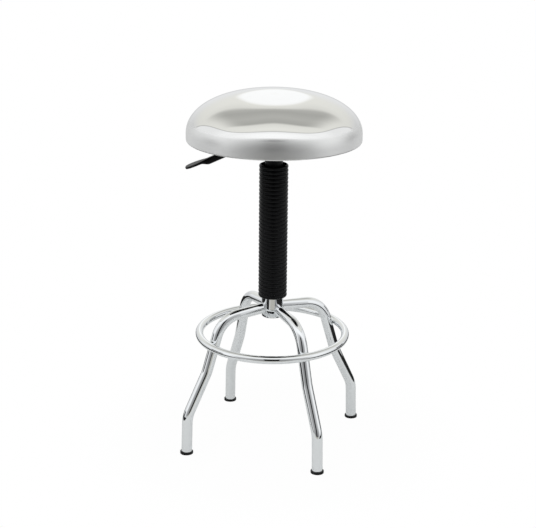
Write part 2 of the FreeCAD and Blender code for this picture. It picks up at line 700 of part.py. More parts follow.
def make_piston_rod():
    tail, rod = mm.rod_tail_radius, mm.rod_radius
    clip_top = mm.sleeve_foot - mm.seat_gap
    clip_foot = clip_top - mm.clip_sheet
    groove_top, groove_foot = clip_top + mm.seat_gap, clip_foot - mm.seat_gap
    end = groove_foot - mm.tail_length
    piston_foot = mm.rod_top - mm.piston_length
    nut_foot = mm.rod_top + mm.seat_gap
    rod_end = nut_foot + mm.piston_nut + mm.overcut
    groove = tail - mm.clip_groove
    turned("piston_rod", [
        (0, end), (tail, end), (tail, groove_foot), (groove, groove_foot),
        (groove, groove_top), (tail, groove_top), (tail, upper_race_top),
        (rod, upper_race_top), (rod, piston_foot), (tail, piston_foot),
        (tail, rod_end), (0, rod_end),
    ])
    ring_foot = piston_foot + mm.piston_length / 2.0 - mm.piston_ring / 2.0
    ring_top = ring_foot + mm.piston_ring
    outside = cylinder_bore - mm.free_gap
    ring_bore = outside - mm.piston_groove
    turned("piston", [
        (tail + mm.seat_gap, piston_foot), (outside, piston_foot), (outside, ring_foot),
        (ring_bore, ring_foot), (ring_bore, ring_top), (outside, ring_top),
        (outside, mm.rod_top), (tail + mm.seat_gap, mm.rod_top),
    ])
    turned("piston_ring", sleeve(ring_bore + mm.seat_gap, cylinder_bore - mm.running_gap,
                                 ring_foot + mm.seat_gap, ring_top - mm.seat_gap))
    turned("end_stop", sleeve(rod + mm.seat_gap, mm.race_radius, upper_race_top,
                              upper_race_top + mm.buffer_height, mm.stop_chamfer))
    hexagon("piston_nut", mm.piston_nut_corner, nut_foot, mm.piston_nut, tail + mm.seat_gap)
    clip = doc.addObject("PartDesign::Body", "rod_clip")
    ring = sketch_on(clip, "XY_Plane", "ring")
    ring.AttachmentOffset = Placement(Vector(0, 0, clip_foot.value), Rotation())
    bind(ring, "AttachmentOffset.Base.z", clip_foot)
    circle(ring, 0, 0, mm.clip_radius)
    circle(ring, 0, 0, groove + mm.seat_gap)
    pad(clip, ring, mm.clip_sheet, "ring_pad")
    mouth = sketch_on(clip, "XY_Plane", "mouth")
    half = groove - mm.seat_gap
    polygon(mouth, [(0, -half), (2.0 * mm.clip_radius, -half), (2.0 * mm.clip_radius, half), (0, half)])
    pocket(clip, mouth, 4.0 * mm.leg_root, "mouth_cut", both_ways=True)
    finish(clip, "rod_clip")


def hexagon(label, corner, foot, height, hole=None, spots=((0, 0),)):
    """One hexagon nut, or a set of them kept as one piece."""
    made = []
    for index, (x, y) in enumerate(spots):
        name = "%s_%d" % (label, index + 1)
        prism = doc.addObject("Part::Prism", name + "_hexagon")
        prism.Polygon = 6
        bind(prism, "Circumradius", corner)
        bind(prism, "Height", height)
        place(prism, x, y, foot)
        bore = doc.addObject("Part::Cylinder", name + "_bore")
        bind(bore, "Radius", hole)
        bind(bore, "Height", 3.0 * height)
        place(bore, x, y, foot - height)
        nut = doc.addObject("Part::Cut", name)
        nut.Base = prism
        nut.Tool = bore
        made.append(nut)
    if len(made) == 1:
        return finish(made[0], label)
    return group(label, made)


# Lift: the gas cylinder and its release valve, which rise with the seat

def make_gas_cylinder():
    outside, bore = mm.cylinder_radius, cylinder_bore
    foot, lip = mm.cylinder_foot, mm.cylinder_wall
    top_radius = outside - mm.taper_drop
    lip_bore = mm.rod_radius + mm.cylinder_mouth
    mouth = mm.valve_radius + mm.valve_mouth
    edge = mm.cylinder_chamfer
    turned("gas_cylinder", [
        (lip_bore, foot), (outside - edge, foot), (outside, foot + edge), (outside, socket_foot),
        (top_radius, cylinder_top - edge), (top_radius - edge, cylinder_top),
        (mouth, cylinder_top), (mouth, cylinder_top - lip), (bore, cylinder_top - lip),
        (bore, foot + lip), (lip_bore, foot + lip),
    ])
    packed = bore - mm.seat_gap
    guide_foot = foot + lip + mm.seat_gap
    guide_top = guide_foot + mm.rod_guide
    turned("rod_guide", sleeve(mm.rod_radius + mm.running_gap, packed, guide_foot, guide_top))
    turned("rod_seal", sleeve(mm.rod_radius + mm.running_gap, packed, guide_top, guide_top + mm.rod_seal))
    valve_top = cylinder_top - lip - mm.seat_gap
    turned("valve_body", sleeve(mm.valve_radius + mm.running_gap, packed,
                                valve_top - mm.valve_body, valve_top))
    edge = mm.pin_chamfer
    turned("release_pin", [
        (0, pin_top - mm.valve_length), (mm.valve_radius, pin_top - mm.valve_length),
        (mm.valve_radius, pin_top - edge), (mm.valve_radius - edge, pin_top), (0, pin_top),
    ])


def make_seat_socket():
    """Tapered socket welded under the bracket, jammed on the cylinder's top."""
    outside, edge = mm.socket_radius, mm.socket_chamfer
    taper = mm.taper_drop * (housing_foot - socket_foot) / (cylinder_top - socket_foot)
    bore = mm.cylinder_radius + mm.seat_gap
    turned("seat_socket", [
        (bore, socket_foot), (outside - edge, socket_foot), (outside, socket_foot + edge),
        (outside, housing_foot), (bore - taper, housing_foot),
    ])


# Seat: bracket, pan and shell

def corner_spots(spacing):
    half = spacing / 2.0
    return [(half, half), (-half, half), (-half, -half), (half, -half)]


def rectangle(sketch, low_x, low_y, high_x, high_y):
    return polygon(sketch, [(low_x, low_y), (high_x, low_y), (high_x, high_y), (low_x, high_y)])


def lifted(body, role, name, distance, path="AttachmentOffset.Base.z"):
    """A sketch on a plane parallel to one of the body's own planes."""
    sketch = sketch_on(body, role, name)
    sketch.AttachmentOffset = Placement(Vector(0, 0, as_size(distance).value), Rotation())
    bind(sketch, path, distance)
    return sketch


def rounded(body, radius, name, test):
    """Fillets the edges that pass a test of their two ends."""
    doc.recompute()
    shape = body.Tip.Shape
    names = []
    for index, edge in enumerate(shape.Edges):
        if test(edge):
            names.append("Edge%d" % (index + 1))
    if not names:
        raise RuntimeError("no edge to round for %s" % name)
    feature = body.newObject("PartDesign::Fillet", body.Name + "_" + name)
    feature.Base = (body.Tip if body.Tip != feature else feature.BaseFeature, names)
    bind(feature, "Radius", radius)
    doc.recompute()
    return feature


def make_bracket():
    """Pressed steel bracket: a flange on the seat pan around a housing for the release."""
    body = doc.addObject("PartDesign::Body", "seat_bracket")
    gauge = mm.bracket_sheet
    half = mm.bracket_side / 2.0
    flange = lifted(body, "XY_Plane", "flange", bracket_foot)
    rounded_rectangle(flange, half, half, mm.bracket_corner)
    pad(body, flange, gauge, "flange_pad")
    long_half, wide_half = mm.housing_length / 2.0, mm.housing_width / 2.0
    box = lifted(body, "XY_Plane", "box", bracket_foot)
    rounded_rectangle(box, long_half + gauge, wide_half + gauge, mm.housing_corner + gauge)
    pad(body, box, bracket_foot - housing_foot, "box_pad", reverse=True)
    hollow = lifted(body, "XY_Plane", "hollow", bracket_top)
    rounded_rectangle(hollow, long_half, wide_half, mm.housing_corner)
    pocket(body, hollow, mm.housing_depth, "hollow_cut")
    seat = sketch_on(body, "XY_Plane", "lift_hole")
    circle(seat, 0, 0, mm.cylinder_radius + mm.seat_gap)
    pocket(body, seat, 4.0 * mm.seat_height, "lift_hole_cut", both_ways=True)
    slot = sketch_on(body, "YZ_Plane", "lever_slot")
    slot_half = mm.arm_radius + mm.slot_gap
    rectangle(slot, -slot_half, housing_floor + mm.slot_gap, slot_half, bracket_foot - mm.slot_gap)
    pocket(body, slot, long_half + 2.0 * gauge, "lever_slot_cut")
    bolts = sketch_on(body, "XY_Plane", "bolt_holes")
    for x, y in corner_spots(mm.bolt_spacing):
        circle(bolts, x, y, mm.bolt_radius + mm.free_gap)
    pocket(body, bolts, 4.0 * mm.seat_height, "bolt_holes_cut", both_ways=True)
    pin = sketch_on(body, "XZ_Plane", "pivot_holes")
    circle(pin, -mm.pivot_offset, pivot_height, mm.pivot_radius + mm.seat_gap)
    pocket(body, pin, 4.0 * mm.housing_width, "pivot_holes_cut", both_ways=True)
    return finish(body, "seat_bracket")


def make_seat_bolts():
    """Flange-headed bolts up through the bracket and the pan, and their nuts."""
    spots = corner_spots(mm.bolt_spacing)
    flange_foot = bracket_foot - mm.bolt_flange
    head_foot = flange_foot - mm.bolt_head_height
    nut_foot = pan_foot + mm.pan_sheet
    bolt_top = nut_foot + mm.nut_height + mm.bolt_proud
    bolts = []
    for index, (x, y) in enumerate(spots):
        name = "seat_bolt_%d" % (index + 1)
        head = doc.addObject("Part::Prism", name + "_head")
        head.Polygon = 6
        bind(head, "Circumradius", mm.bolt_head_corner)
        bind(head, "Height", mm.bolt_head_height)
        place(head, x, y, head_foot)
        members = [head]
        for part, radius, foot, top in (("flange", mm.bolt_flange_radius, flange_foot, bracket_foot),
                                        ("shank", mm.bolt_radius, bracket_foot, bolt_top)):
            disc = doc.addObject("Part::Cylinder", "%s_%s" % (name, part))
            bind(disc, "Radius", radius)
            bind(disc, "Height", top - foot)
            members.append(place(disc, x, y, foot))
        bolt = doc.addObject("Part::MultiFuse", name)
        bolt.Shapes = members
        bolts.append(bolt)
    group("seat_bolts", bolts)
    hexagon("seat_nuts", mm.bolt_head_corner, nut_foot, mm.nut_height,
            mm.bolt_radius + mm.seat_gap, spots)


def make_seat_pan():
    """Pressed pan that closes the seat from below and carries its bracket."""
    outside = mm.seat_radius - mm.shell_sheet - mm.seat_gap
    inside = outside - mm.pan_sheet
    flange_top = pan_foot + mm.pan_flange
    body = turn("seat_pan", [
        (0, pan_foot), (inside, pan_foot), (outside, pan_foot + mm.pan_sheet),
        (outside, flange_top), (inside, flange_top), (inside, pan_foot + mm.pan_sheet),
        (0, pan_foot + mm.pan_sheet),
    ])
    holes = sketch_on(body, "XY_Plane", "bolt_holes")
    for x, y in corner_spots(mm.bolt_spacing):
        circle(holes, x, y, mm.bolt_radius + mm.free_gap)
    pocket(body, holes, 4.0 * mm.seat_height, "bolt_holes_cut", both_ways=True)
    return finish(body, "seat_pan")


def seat_top(x, y):
    """Height of the sitting surface above the top of the rim's upright wall."""
    share = min(math.hypot(x, y) / mm.seat_radius.value, 1.0)
    fullness, shoulder = mm.crown_fullness.value, mm.crown_shoulder.value
    crown = mm.seat_crown.value * (1.0 - share ** fullness) ** (1.0 / shoulder)
    off_middle = (y - mm.dish_back.value) / mm.dish_length.value
    spread = (x / mm.dish_width.value) ** 2 + off_middle ** 2
    dish = mm.dish_depth.value * math.exp(-spread ** 2)
    trough = math.exp(-((abs(x) - mm.thigh_offset.value) / mm.thigh_width.value) ** 2)
    trough /= 1.0 + math.exp((y - mm.thigh_start.value) / mm.thigh_blend.value)
    fade = math.exp(-(share / mm.contour_reach.value) ** 8)
    return crown - dish - mm.thigh_depth.value * trough * fade


def make_seat_shell():
    """Contoured sheet shell: one smooth surface outside and its offset inside."""
    around, across = 24, 14
    radius, gauge = mm.seat_radius.value, mm.shell_sheet.value
    foot = mm.seat_height.value
    wall_top = foot + mm.seat_wall.value
    bend, flange = mm.rim_bend.value, mm.rim_return.value
    fullness, shoulder = mm.crown_fullness.value, mm.crown_shoulder.value
    # Poles of a closed cubic surface lie this much outside the circle they stand for
    swell = 3.0 / (2.0 + math.cos(2.0 * math.pi / around))

    def crown_point(angle, step):
        turn_angle = math.pi / 2.0 * step / across
        out = radius * math.sin(turn_angle) ** (2.0 / fullness)
        x, y = out * math.cos(angle), out * math.sin(angle)
        height = seat_top(x, y) if step < across else 0.0
        return Vector(x, y, wall_top + height)

    def crown_normal(angle, step):
        near = max(step, 0.2)
        before, after = crown_point(angle, near - 0.1), crown_point(angle, min(near + 0.1, across))
        side = crown_point(angle + 0.02, near) - crown_point(angle - 0.02, near)
        return side.cross(after - before).normalize() * -1.0

    def column(angle, inset):
        way = Vector(math.cos(angle), math.sin(angle), 0)
        points = [crown_point(angle, step) for step in range(across + 1)]
        if inset:
            moved = []
            for step, point in enumerate(points):
                normal = Vector(0, 0, 1) if step == 0 else crown_normal(angle, step)
                moved.append(point - normal * inset)
            points = moved
        wall_radius, corner = radius - inset, bend - inset
        low = foot + inset
        points[-1] = way * wall_radius + Vector(0, 0, wall_top)
        for share in (0.35, 0.7):
            points.append(way * wall_radius + Vector(0, 0, wall_top + (low + corner - wall_top) * share))
        for step in range(5):
            bend_angle = math.pi / 2.0 * step / 4
            out = wall_radius - corner + corner * math.cos(bend_angle)
            down = low + corner - corner * math.sin(bend_angle)
            points.append(way * out + Vector(0, 0, down))
        end = radius - flange
        for share in (0.5, 1.0):
            out = wall_radius - corner + (end - wall_radius + corner) * share
            points.append(way * out + Vector(0, 0, low))
        return points

    def skin(inset):
        poles = []
        for index in range(around):
            angle = 2.0 * math.pi * index / around
            points = column(angle, inset)
            poles.append([Vector(p.x * swell, p.y * swell, p.z) for p in points])
        rows = len(poles[0])
        surface = Part.BSplineSurface()
        inner = [4] + [1] * (rows - 4) + [4]
        knots = [float(n) for n in range(len(inner))]
        surface.buildFromPolesMultsKnots(
            poles, [1] * (around + 1), inner, [float(n) for n in range(around + 1)], knots,
            True, False, 3, 3)
        return surface.toShape()

    outside, inside = skin(0.0), skin(gauge)

    def open_edge(face):
        edges = [edge for edge in face.Edges if not edge.Degenerated and edge.BoundBox.DiagonalLength > 1.0]
        return min(edges, key=lambda edge: edge.BoundBox.ZMax)

    lip = Part.makeRuledSurface(open_edge(outside), open_edge(inside))
    shell = Part.makeShell([outside, inside, lip])
    shell.sewShape()
    solid = Part.Solid(shell)
    if solid.Volume < 0:
        solid.reverse()
    feature = doc.addObject("Part::Feature", "seat_shell")
    feature.Shape = solid
    return finish(feature, "seat_shell")


# Lever

def lever_point(along, above):
    """A point beside the lever: its distance from the bend and its height off the middle."""
    slope = mm.lever_slope
    across = -(mm.pivot_offset + mm.arm_run * cosine(mm.arm_fall))
    height = pivot_height - mm.arm_run * sine(mm.arm_fall)
    return (across - along * cosine(slope) - above * sine(slope),
            height - along * sine(slope) + above * cosine(slope))


def make_lever_arm():
    body = doc.addObject("PartDesign::Body", "lever_arm")
    eye = sketch_on(body, "XZ_Plane", "eye")
    circle(eye, -mm.pivot_offset, pivot_height, mm.eye_radius)
    pad(body, eye, mm.tongue_width, "eye_pad", both_ways=True)
    tongue = sketch_on(body, "XZ_Plane", "tongue")
    rectangle(tongue, -mm.pivot_offset, tongue_foot, mm.valve_radius + mm.tongue_reach,
              tongue_foot + mm.tongue_sheet)
    pad(body, tongue, mm.tongue_width, "tongue_pad", both_ways=True)
    path = sketch_on(body, "XZ_Plane", "path")
    bend_turn = mm.lever_slope - mm.arm_fall
    trim = mm.arm_bend * tangent(bend_turn / 2.0)
    start = (-mm.pivot_offset, pivot_height)
    before = mm.arm_run - trim
    first_end = (-mm.pivot_offset - before * cosine(mm.arm_fall),
                 pivot_height - before * sine(mm.arm_fall))
    second_start = lever_point(trim, 0)
    second_end = lever_point(mm.paddle_shoulder - mm.arm_short, 0)
    first = path.addGeometry(Part.LineSegment(spot(start), spot(first_end)), False)
    second = path.addGeometry(Part.LineSegment(spot(second_start), spot(second_end)), False)
    for line, end, corner in ((first, 1, start), (first, 2, first_end),
                              (second, 1, second_start), (second, 2, second_end)):
        pin_point(path, line, end, corner[0], corner[1])
    corner = spot(lever_point(0, 0))
    way = (spot(second_end) - corner).normalize() + (spot(start) - corner).normalize()
    centre = corner + way.normalize() * (mm.arm_bend.value / math.cos(math.radians(bend_turn.value / 2.0)))
    middle = centre + (corner - centre).normalize() * mm.arm_bend.value
    arc = path.addGeometry(Part.Arc(spot(first_end), middle, spot(second_start)), False)
    flipped = path.getPoint(arc, 1).sub(spot(first_end)).Length > 0.001
    first_side, second_side = (2, 1) if flipped else (1, 2)
    path.addConstraint(Sketcher.Constraint("Tangent", first, 2, arc, first_side))
    path.addConstraint(Sketcher.Constraint("Coincident", second, 1, arc, second_side))
    section = sketch_on(body, "YZ_Plane", "section")
    section.AttachmentOffset = Placement(
        Vector(0, pivot_height.value, -mm.pivot_offset.value),
        Rotation(Vector(1, 0, 0), -mm.arm_fall.value))
    bind(section, "AttachmentOffset.Base.y", pivot_height)
    bind(section, "AttachmentOffset.Base.z", -mm.pivot_offset)
    bind(section, "AttachmentOffset.Rotation.Angle", -mm.arm_fall)
    circle(section, 0, 0, mm.arm_radius)
    doc.recompute()
    sweep = body.newObject("PartDesign::AdditivePipe", "lever_arm_sweep")
    sweep.Profile = section
    sweep.Spine = (path, ["Edge1", "Edge3", "Edge2"])
    doc.recompute()
    bore = sketch_on(body, "XZ_Plane", "bore")
    circle(bore, -mm.pivot_offset, pivot_height, mm.pivot_radius + mm.running_gap)
    pocket(body, bore, 4.0 * mm.tongue_width, "bore_cut", both_ways=True)
    return finish(body, "lever_arm")


def spot(corner):
    return Vector(as_size(corner[0]).value, as_size(corner[1]).value, 0)


def make_paddle():
    """Moulded finger paddle: a thick root on the arm that thins to a flat blade."""
    body = doc.addObject("PartDesign::Body", "lever_paddle")
    side = sketch_on(body, "XZ_Plane", "side")
    top = mm.paddle_depth / 2.0
    polygon(side, [
        lever_point(mm.paddle_start, top), lever_point(mm.paddle_start, -top),
        lever_point(mm.paddle_shoulder, -top), lever_point(mm.paddle_neck, top - mm.blade_depth),
        lever_point(mm.paddle_end, top + mm.tip_rise - mm.tip_depth),
        lever_point(mm.paddle_end, top + mm.tip_rise), lever_point(mm.paddle_shoulder, top),
    ])
    pad(body, side, mm.blade_width, "side_pad", both_ways=True)
    tip_x = spot(lever_point(mm.paddle_end, top)).x

    def tip_corner(edge):
        ends = [vertex.Point for vertex in edge.Vertexes]
        level = abs(ends[0].y - ends[1].y) < 0.001
        outer = max(ends[0].x, ends[1].x) < tip_x + mm.blade_depth.value
        return level and outer

    rounded(body, mm.tip_corner, "tip_corners", tip_corner)

    plan = sketch_on(body, "XY_Plane", "plan")
    inner = lever_point(mm.paddle_start, top)[0] + mm.overcut + mm.paddle_depth
    narrow = lever_point(mm.blade_start, 0)[0]
    wide = lever_point(mm.blade_spread, 0)[0]
    for way in (1.0, -1.0):
        root, edge = way * mm.paddle_width / 2.0, way * mm.blade_width / 2.0
        outside = edge + way * mm.overcut
        polygon(plan, [(inner, root), (narrow, root), (wide, edge), (wide, outside),
                       (inner, outside)])
    pocket(body, plan, 4.0 * mm.seat_height, "plan_cut", both_ways=True)

    hole = sketch_on(body, "YZ_Plane", "arm_hole")
    mouth = lever_point(mm.paddle_start - mm.overcut, 0)
    hole.AttachmentOffset = Placement(
        Vector(0, mouth[1].value, mouth[0].value), Rotation(Vector(1, 0, 0), -mm.lever_slope.value))
    bind(hole, "AttachmentOffset.Base.y", mouth[1])
    bind(hole, "AttachmentOffset.Base.z", mouth[0])
    bind(hole, "AttachmentOffset.Rotation.Angle", -mm.lever_slope)
    circle(hole, 0, 0, mm.arm_radius + mm.seat_gap)
    depth = mm.paddle_shoulder - mm.arm_short - mm.paddle_start + mm.overcut + mm.seat_gap
    pocket(body, hole, depth, "arm_hole_cut")
    return finish(body, "lever_paddle")


def make_pivot_pin():
    pin = doc.addObject("Part::Cylinder", "lever_pivot_pin")
    length = mm.housing_width + 2.0 * (mm.bracket_sheet + mm.pin_proud_ends)
    bind(pin, "Radius", mm.pivot_radius)
    bind(pin, "Height", length)
    place(pin, -mm.pivot_offset, length / 2.0, pivot_height, Vector(1, 0, 0), 90)
    return finish(pin, "lever_pivot_pin")


make_hub()
make_base()
make_foot_ring()
make_outer_tube()
make_guide_bush()
make_bearing()
make_bellows()
make_piston_rod()
make_gas_cylinder()
make_seat_socket()
make_bracket()
make_seat_bolts()
make_seat_pan()
make_seat_shell()
make_lever_arm()
make_paddle()
make_pivot_pin()
doc.recompute()

for item in doc.Objects:
    if "Invalid" in item.State or "Error" in item.State:
        raise RuntimeError("%s failed: %s" % (item.Name, item.State))
for item in pieces:
    shape = item.Shape
    if shape.isNull() or not shape.isValid() or not shape.Solids:
        raise RuntimeError("%s has no sound shape" % item.Label)
    print("%-20s %2d solids %10.1f mm3" % (item.Label, len(shape.Solids), shape.Volume))

os.makedirs("parts", exist_ok=True)
for item in pieces:
    item.Shape.exportStep("parts/%s.step" % item.Label)
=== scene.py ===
# A height-adjustable workshop stool: contoured steel seat, gas lift under a ribbed bellows,
# four bent chromed legs and a foot ring. Everything is in metres, in the frame of the packed
# model: the lift's axis is Z, and the camera stands in front, in -Y.

import json
import math

import bmesh
import bpy
from bpy.props import FloatProperty, FloatVectorProperty, IntProperty, PointerProperty
from bpy.types import Operator, Panel, PropertyGroup
from mathutils import Matrix, Vector


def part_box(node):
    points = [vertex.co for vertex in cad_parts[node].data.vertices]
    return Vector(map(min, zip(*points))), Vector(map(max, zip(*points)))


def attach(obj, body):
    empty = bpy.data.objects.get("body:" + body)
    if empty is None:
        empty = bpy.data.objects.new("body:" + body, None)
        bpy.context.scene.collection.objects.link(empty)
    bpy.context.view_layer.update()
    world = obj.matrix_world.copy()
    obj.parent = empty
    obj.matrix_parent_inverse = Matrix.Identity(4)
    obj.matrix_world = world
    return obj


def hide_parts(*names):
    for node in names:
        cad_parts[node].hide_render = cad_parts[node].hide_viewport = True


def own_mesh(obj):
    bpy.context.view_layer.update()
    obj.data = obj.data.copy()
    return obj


bl_info = {
    "name": "Machinist Stool",
    "version": (1, 0, 0),
    "blender": (4, 5, 0),
    "location": "View3D > Sidebar > Stool",
    "description": "Dresses the packed model of a workshop stool for rendering",
    "category": "Add Mesh",
}

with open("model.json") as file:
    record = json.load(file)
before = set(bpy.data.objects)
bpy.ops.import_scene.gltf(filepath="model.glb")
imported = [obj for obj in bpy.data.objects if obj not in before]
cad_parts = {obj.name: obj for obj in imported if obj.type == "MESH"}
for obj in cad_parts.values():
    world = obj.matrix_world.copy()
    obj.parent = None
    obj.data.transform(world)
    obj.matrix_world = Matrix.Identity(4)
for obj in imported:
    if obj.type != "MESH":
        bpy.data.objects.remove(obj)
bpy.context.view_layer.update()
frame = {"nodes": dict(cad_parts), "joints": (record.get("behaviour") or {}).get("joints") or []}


def half_width(node):
    """Outside radius of a round CAD node on the lift's axis."""
    low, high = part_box(node)
    return (high[0] - low[0]) / 2.0


BELLOWS_FOOT, BELLOWS_TOP = [corner[2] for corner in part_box("dust_bellows")]
BELLOWS_LENGTH = BELLOWS_TOP - BELLOWS_FOOT
RING_LOW, RING_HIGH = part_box("foot_ring")
RING_TUBE = (RING_HIGH[2] - RING_LOW[2]) / 2.0
RING_RADIUS = RING_HIGH[0] - RING_TUBE
RING_HEIGHT = (RING_LOW[2] + RING_HIGH[2]) / 2.0
LEG_NODES = ("leg_front_right", "leg_rear_right", "leg_rear_left", "leg_front_left")

QUARTER_TURN = math.pi / 2.0
FULL_TURN = 2.0 * math.pi
DEGREE = math.pi / 180.0


# Sizes and colours that a user would change

def length(name, description, default):
    return FloatProperty(name=name, description=description, default=default, unit="LENGTH")


def degrees(name, description, default):
    """An angle whose default is given in degrees."""
    return FloatProperty(name=name, description=description, default=math.radians(default),
                         subtype="ANGLE")


def tint(name, description, default):
    return FloatVectorProperty(name=name, description=description, default=default,
                               subtype="COLOR", size=3)


class SeatSizes(PropertyGroup):
    radius: length("Radius", "Outside radius of the seat", half_width("seat_shell"))
    foot: length(
        "Rim height", "Underside of the seat's rim above the floor",
        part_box("seat_shell")[0][2])
    wall: length("Wall", "Upright part of the rim", 0.0134)
    crown: length("Crown", "Height of the crown before it is dished", 0.0835)
    fullness: FloatProperty(
        name="Fullness", description="How far the crown stays full towards the rim",
        default=2.35)
    shoulder: FloatProperty(
        name="Shoulder", description="How square the crown's shoulder is", default=2.1)
    dish: length("Dish", "Depth of the sitting hollow", 0.0027)
    dish_width: length("Dish width", "Half width of the hollow, across the stool", 0.055)
    dish_length: length("Dish length", "Half length of the hollow, front to back", 0.059)
    dish_back: length("Dish place", "Middle of the hollow, front to back", -0.036)
    trough: length("Trough", "Depth of the thigh troughs", 0.0026)
    trough_offset: length(
        "Trough offset", "Distance of a trough from the middle plane", 0.064)
    trough_width: length("Trough width", "Half width of a trough", 0.0424)
    trough_start: length("Trough start", "Where the troughs begin", -0.033)
    trough_blend: length("Trough blend", "Length over which they deepen", 0.0184)
    contour_reach: FloatProperty(
        name="Contour reach", description="Share of the radius that the contour covers",
        default=0.85, subtype="FACTOR")
    sheet: length("Sheet", "Thickness of the seat's steel", 0.0015)
    flange: length("Flange", "Width of the flange under the rim", 0.009)
    bend: length("Bend", "Outside radius of the rim's bend", 0.0025)


class BellowsSizes(PropertyGroup):
    crest: length("Crest radius", "Outside radius of a rib", half_width("dust_bellows"))
    depth: length("Groove depth", "Depth of a groove", 0.003)
    ribs: IntProperty(name="Ribs", description="Number of ribs", default=34)
    wall: length("Wall", "Thickness of the rubber", 0.0012)
    web: length("Web", "Thickness of the end walls", 0.002)


class BaseSizes(PropertyGroup):
    leg_radius: length("Leg radius", "Outside radius of a leg", 0.011)
    leg_root: length("Leg root", "Height of the leg's centre line at the hub's axis", 0.292)
    root_slope: degrees("Root slope", "Fall of the leg as it leaves the hub", 3.7)
    thigh_lean: degrees("Upper lean", "Lean of the leg beside the foot ring", 17.1)
    shin_lean: degrees("Lower lean", "Lean of the leg below its middle bend", 26.4)
    foot_lean: degrees("Foot lean", "Lean of the leg at the floor", 1.9)
    shoulder_bend: length("Shoulder bend", "Radius of the upper bend", 0.0565)
    middle_bend: length("Middle bend", "Radius of the bend below the foot ring", 0.096)
    ankle_bend: length("Ankle bend", "Radius of the lowest bend", 0.0625)
    splay_height: length("Splay height", "Height at which the middle bend starts", 0.180)
    foot_circle: length("Foot circle", "Radius of the circle of feet", 0.1984)
    foot_height: length("Foot height", "Lower end of the leg tube", 0.0046)
    turn: degrees("Turn", "Direction of the front right leg", -61.9)
    weld_gap: length("Weld gap", "Gap that a weld closes", 0.0001)
    pinch: FloatProperty(
        name="Root pinch", description="Share of a leg's width that is left at the hub",
        default=0.62, subtype="FACTOR")
    pinch_from: length(
        "Pinch start", "Distance from the lift's axis where a leg is narrowest", 0.022)
    pinch_to: length(
        "Pinch end", "Distance from the lift's axis where a leg is round again", 0.052)
    bead: length("Weld bead", "Radius of a weld bead", 0.0008)


class LeverSizes(PropertyGroup):
    slope: degrees("Slope", "Fall of the lever outside its bend", 24.5)
    bend_x: length("Bend X", "Where the lever bends, across the stool", -0.05245)
    bend_z: length("Bend height", "Height of that bend", 0.63573)
    start: length("Root start", "Inner end of the paddle, from the bend", 0.040)
    shoulder: length("Root end", "Outer end of the thick root", 0.086)
    neck: length("Blade start", "Inner end of the thin blade", 0.102)
    tip: length("Tip", "Tip of the paddle, from the bend", 0.1345)
    depth: length("Root depth", "Depth of the paddle's root", 0.0128)
    blade: length("Blade", "Thickness of the blade at its inner end", 0.0054)
    tip_blade: length("Tip thickness", "Thickness of the blade at its tip", 0.0044)
    rise: length("Tip rise", "Rise of the blade's top at its tip", 0.0018)
    width: length("Root width", "Width of the paddle's root", 0.016)
    blade_width: length("Blade width", "Width of the blade", 0.030)
    widen_from: length(
        "Widen from", "Where the paddle starts to widen, from the bend", 0.082)
    widen_to: length("Widen to", "Where it has its full width, from the bend", 0.117)


class StoolColours(PropertyGroup):
    steel: tint("Stainless", "Colour of the seat", (0.86, 0.86, 0.85))
    chrome: tint("Chrome", "Colour of the plated tubes", (0.865, 0.88, 0.89))
    rubber: tint("Bellows", "Colour of the bellows", (0.0025, 0.0025, 0.0028))
    plastic: tint("Plastic", "Colour of the paddle and the glides", (0.006, 0.006, 0.0065))
    paint: tint("Paint", "Colour of the painted steel", (0.008, 0.008, 0.0085))


class StudioSettings(PropertyGroup):
    distance: length(
        "Camera distance", "Distance of the camera in front of the stool", 2.6314)
    height: length("Camera height", "Height of the camera", 1.2710)
    pan: FloatProperty(
        name="Pan", description="Camera's turn to the right", default=-0.0038,
        subtype="ANGLE")
    tilt: FloatProperty(
        name="Tilt", description="Camera's tilt downwards", default=0.3253,
        subtype="ANGLE")
    roll: FloatProperty(
        name="Roll", description="Camera's roll", default=0.0087, subtype="ANGLE")
    focal: FloatProperty(
        name="Focal length", description="In pixels of an image 536 pixels wide",
        default=1353.45, subtype="PIXEL")


# Node trees: values as Python expressions, and one method for every other node

class Value:
    """A socket of a node tree on which arithmetic adds Math nodes."""

    def __init__(self, nodes, socket):
        self.nodes = nodes
        self.socket = socket

    def math(self, operation, *others):
        return self.nodes.add("ShaderNodeMath", {"operation": operation}, self, *others)

    def __add__(self, other):
        return self.math("ADD", other)

    __radd__ = __add__

    def __mul__(self, other):
        return self.math("MULTIPLY", other)

    __rmul__ = __mul__

    def __sub__(self, other):
        return self.math("SUBTRACT", other)

    def __rsub__(self, other):
        return self.nodes.add("ShaderNodeMath", {"operation": "SUBTRACT"}, other, self)

    def __truediv__(self, other):
        return self.math("DIVIDE", other)

    def __pow__(self, other):
        return self.math("POWER", other)

    def __abs__(self):
        return self.math("ABSOLUTE")

    def spread(self, low, high, out_low, out_high):
        """Carries the range from low to high over to another one, in a straight line."""
        return self.nodes.add("ShaderNodeMapRange", None, self, low, high, out_low, out_high)

    def eased(self, low, high, out_low=0.0, out_high=1.0):
        """The same with soft ends."""
        return self.nodes.add("ShaderNodeMapRange", {"interpolation_type": "SMOOTHSTEP"},
                              self, low, high, out_low, out_high)

    def window(self, low, high, soft):
        """1 where the value lies between low and high, with soft edges."""
        rise = self.eased(low - soft, low + soft)
        return rise * self.eased(high - soft, high + soft, 1.0, 0.0)


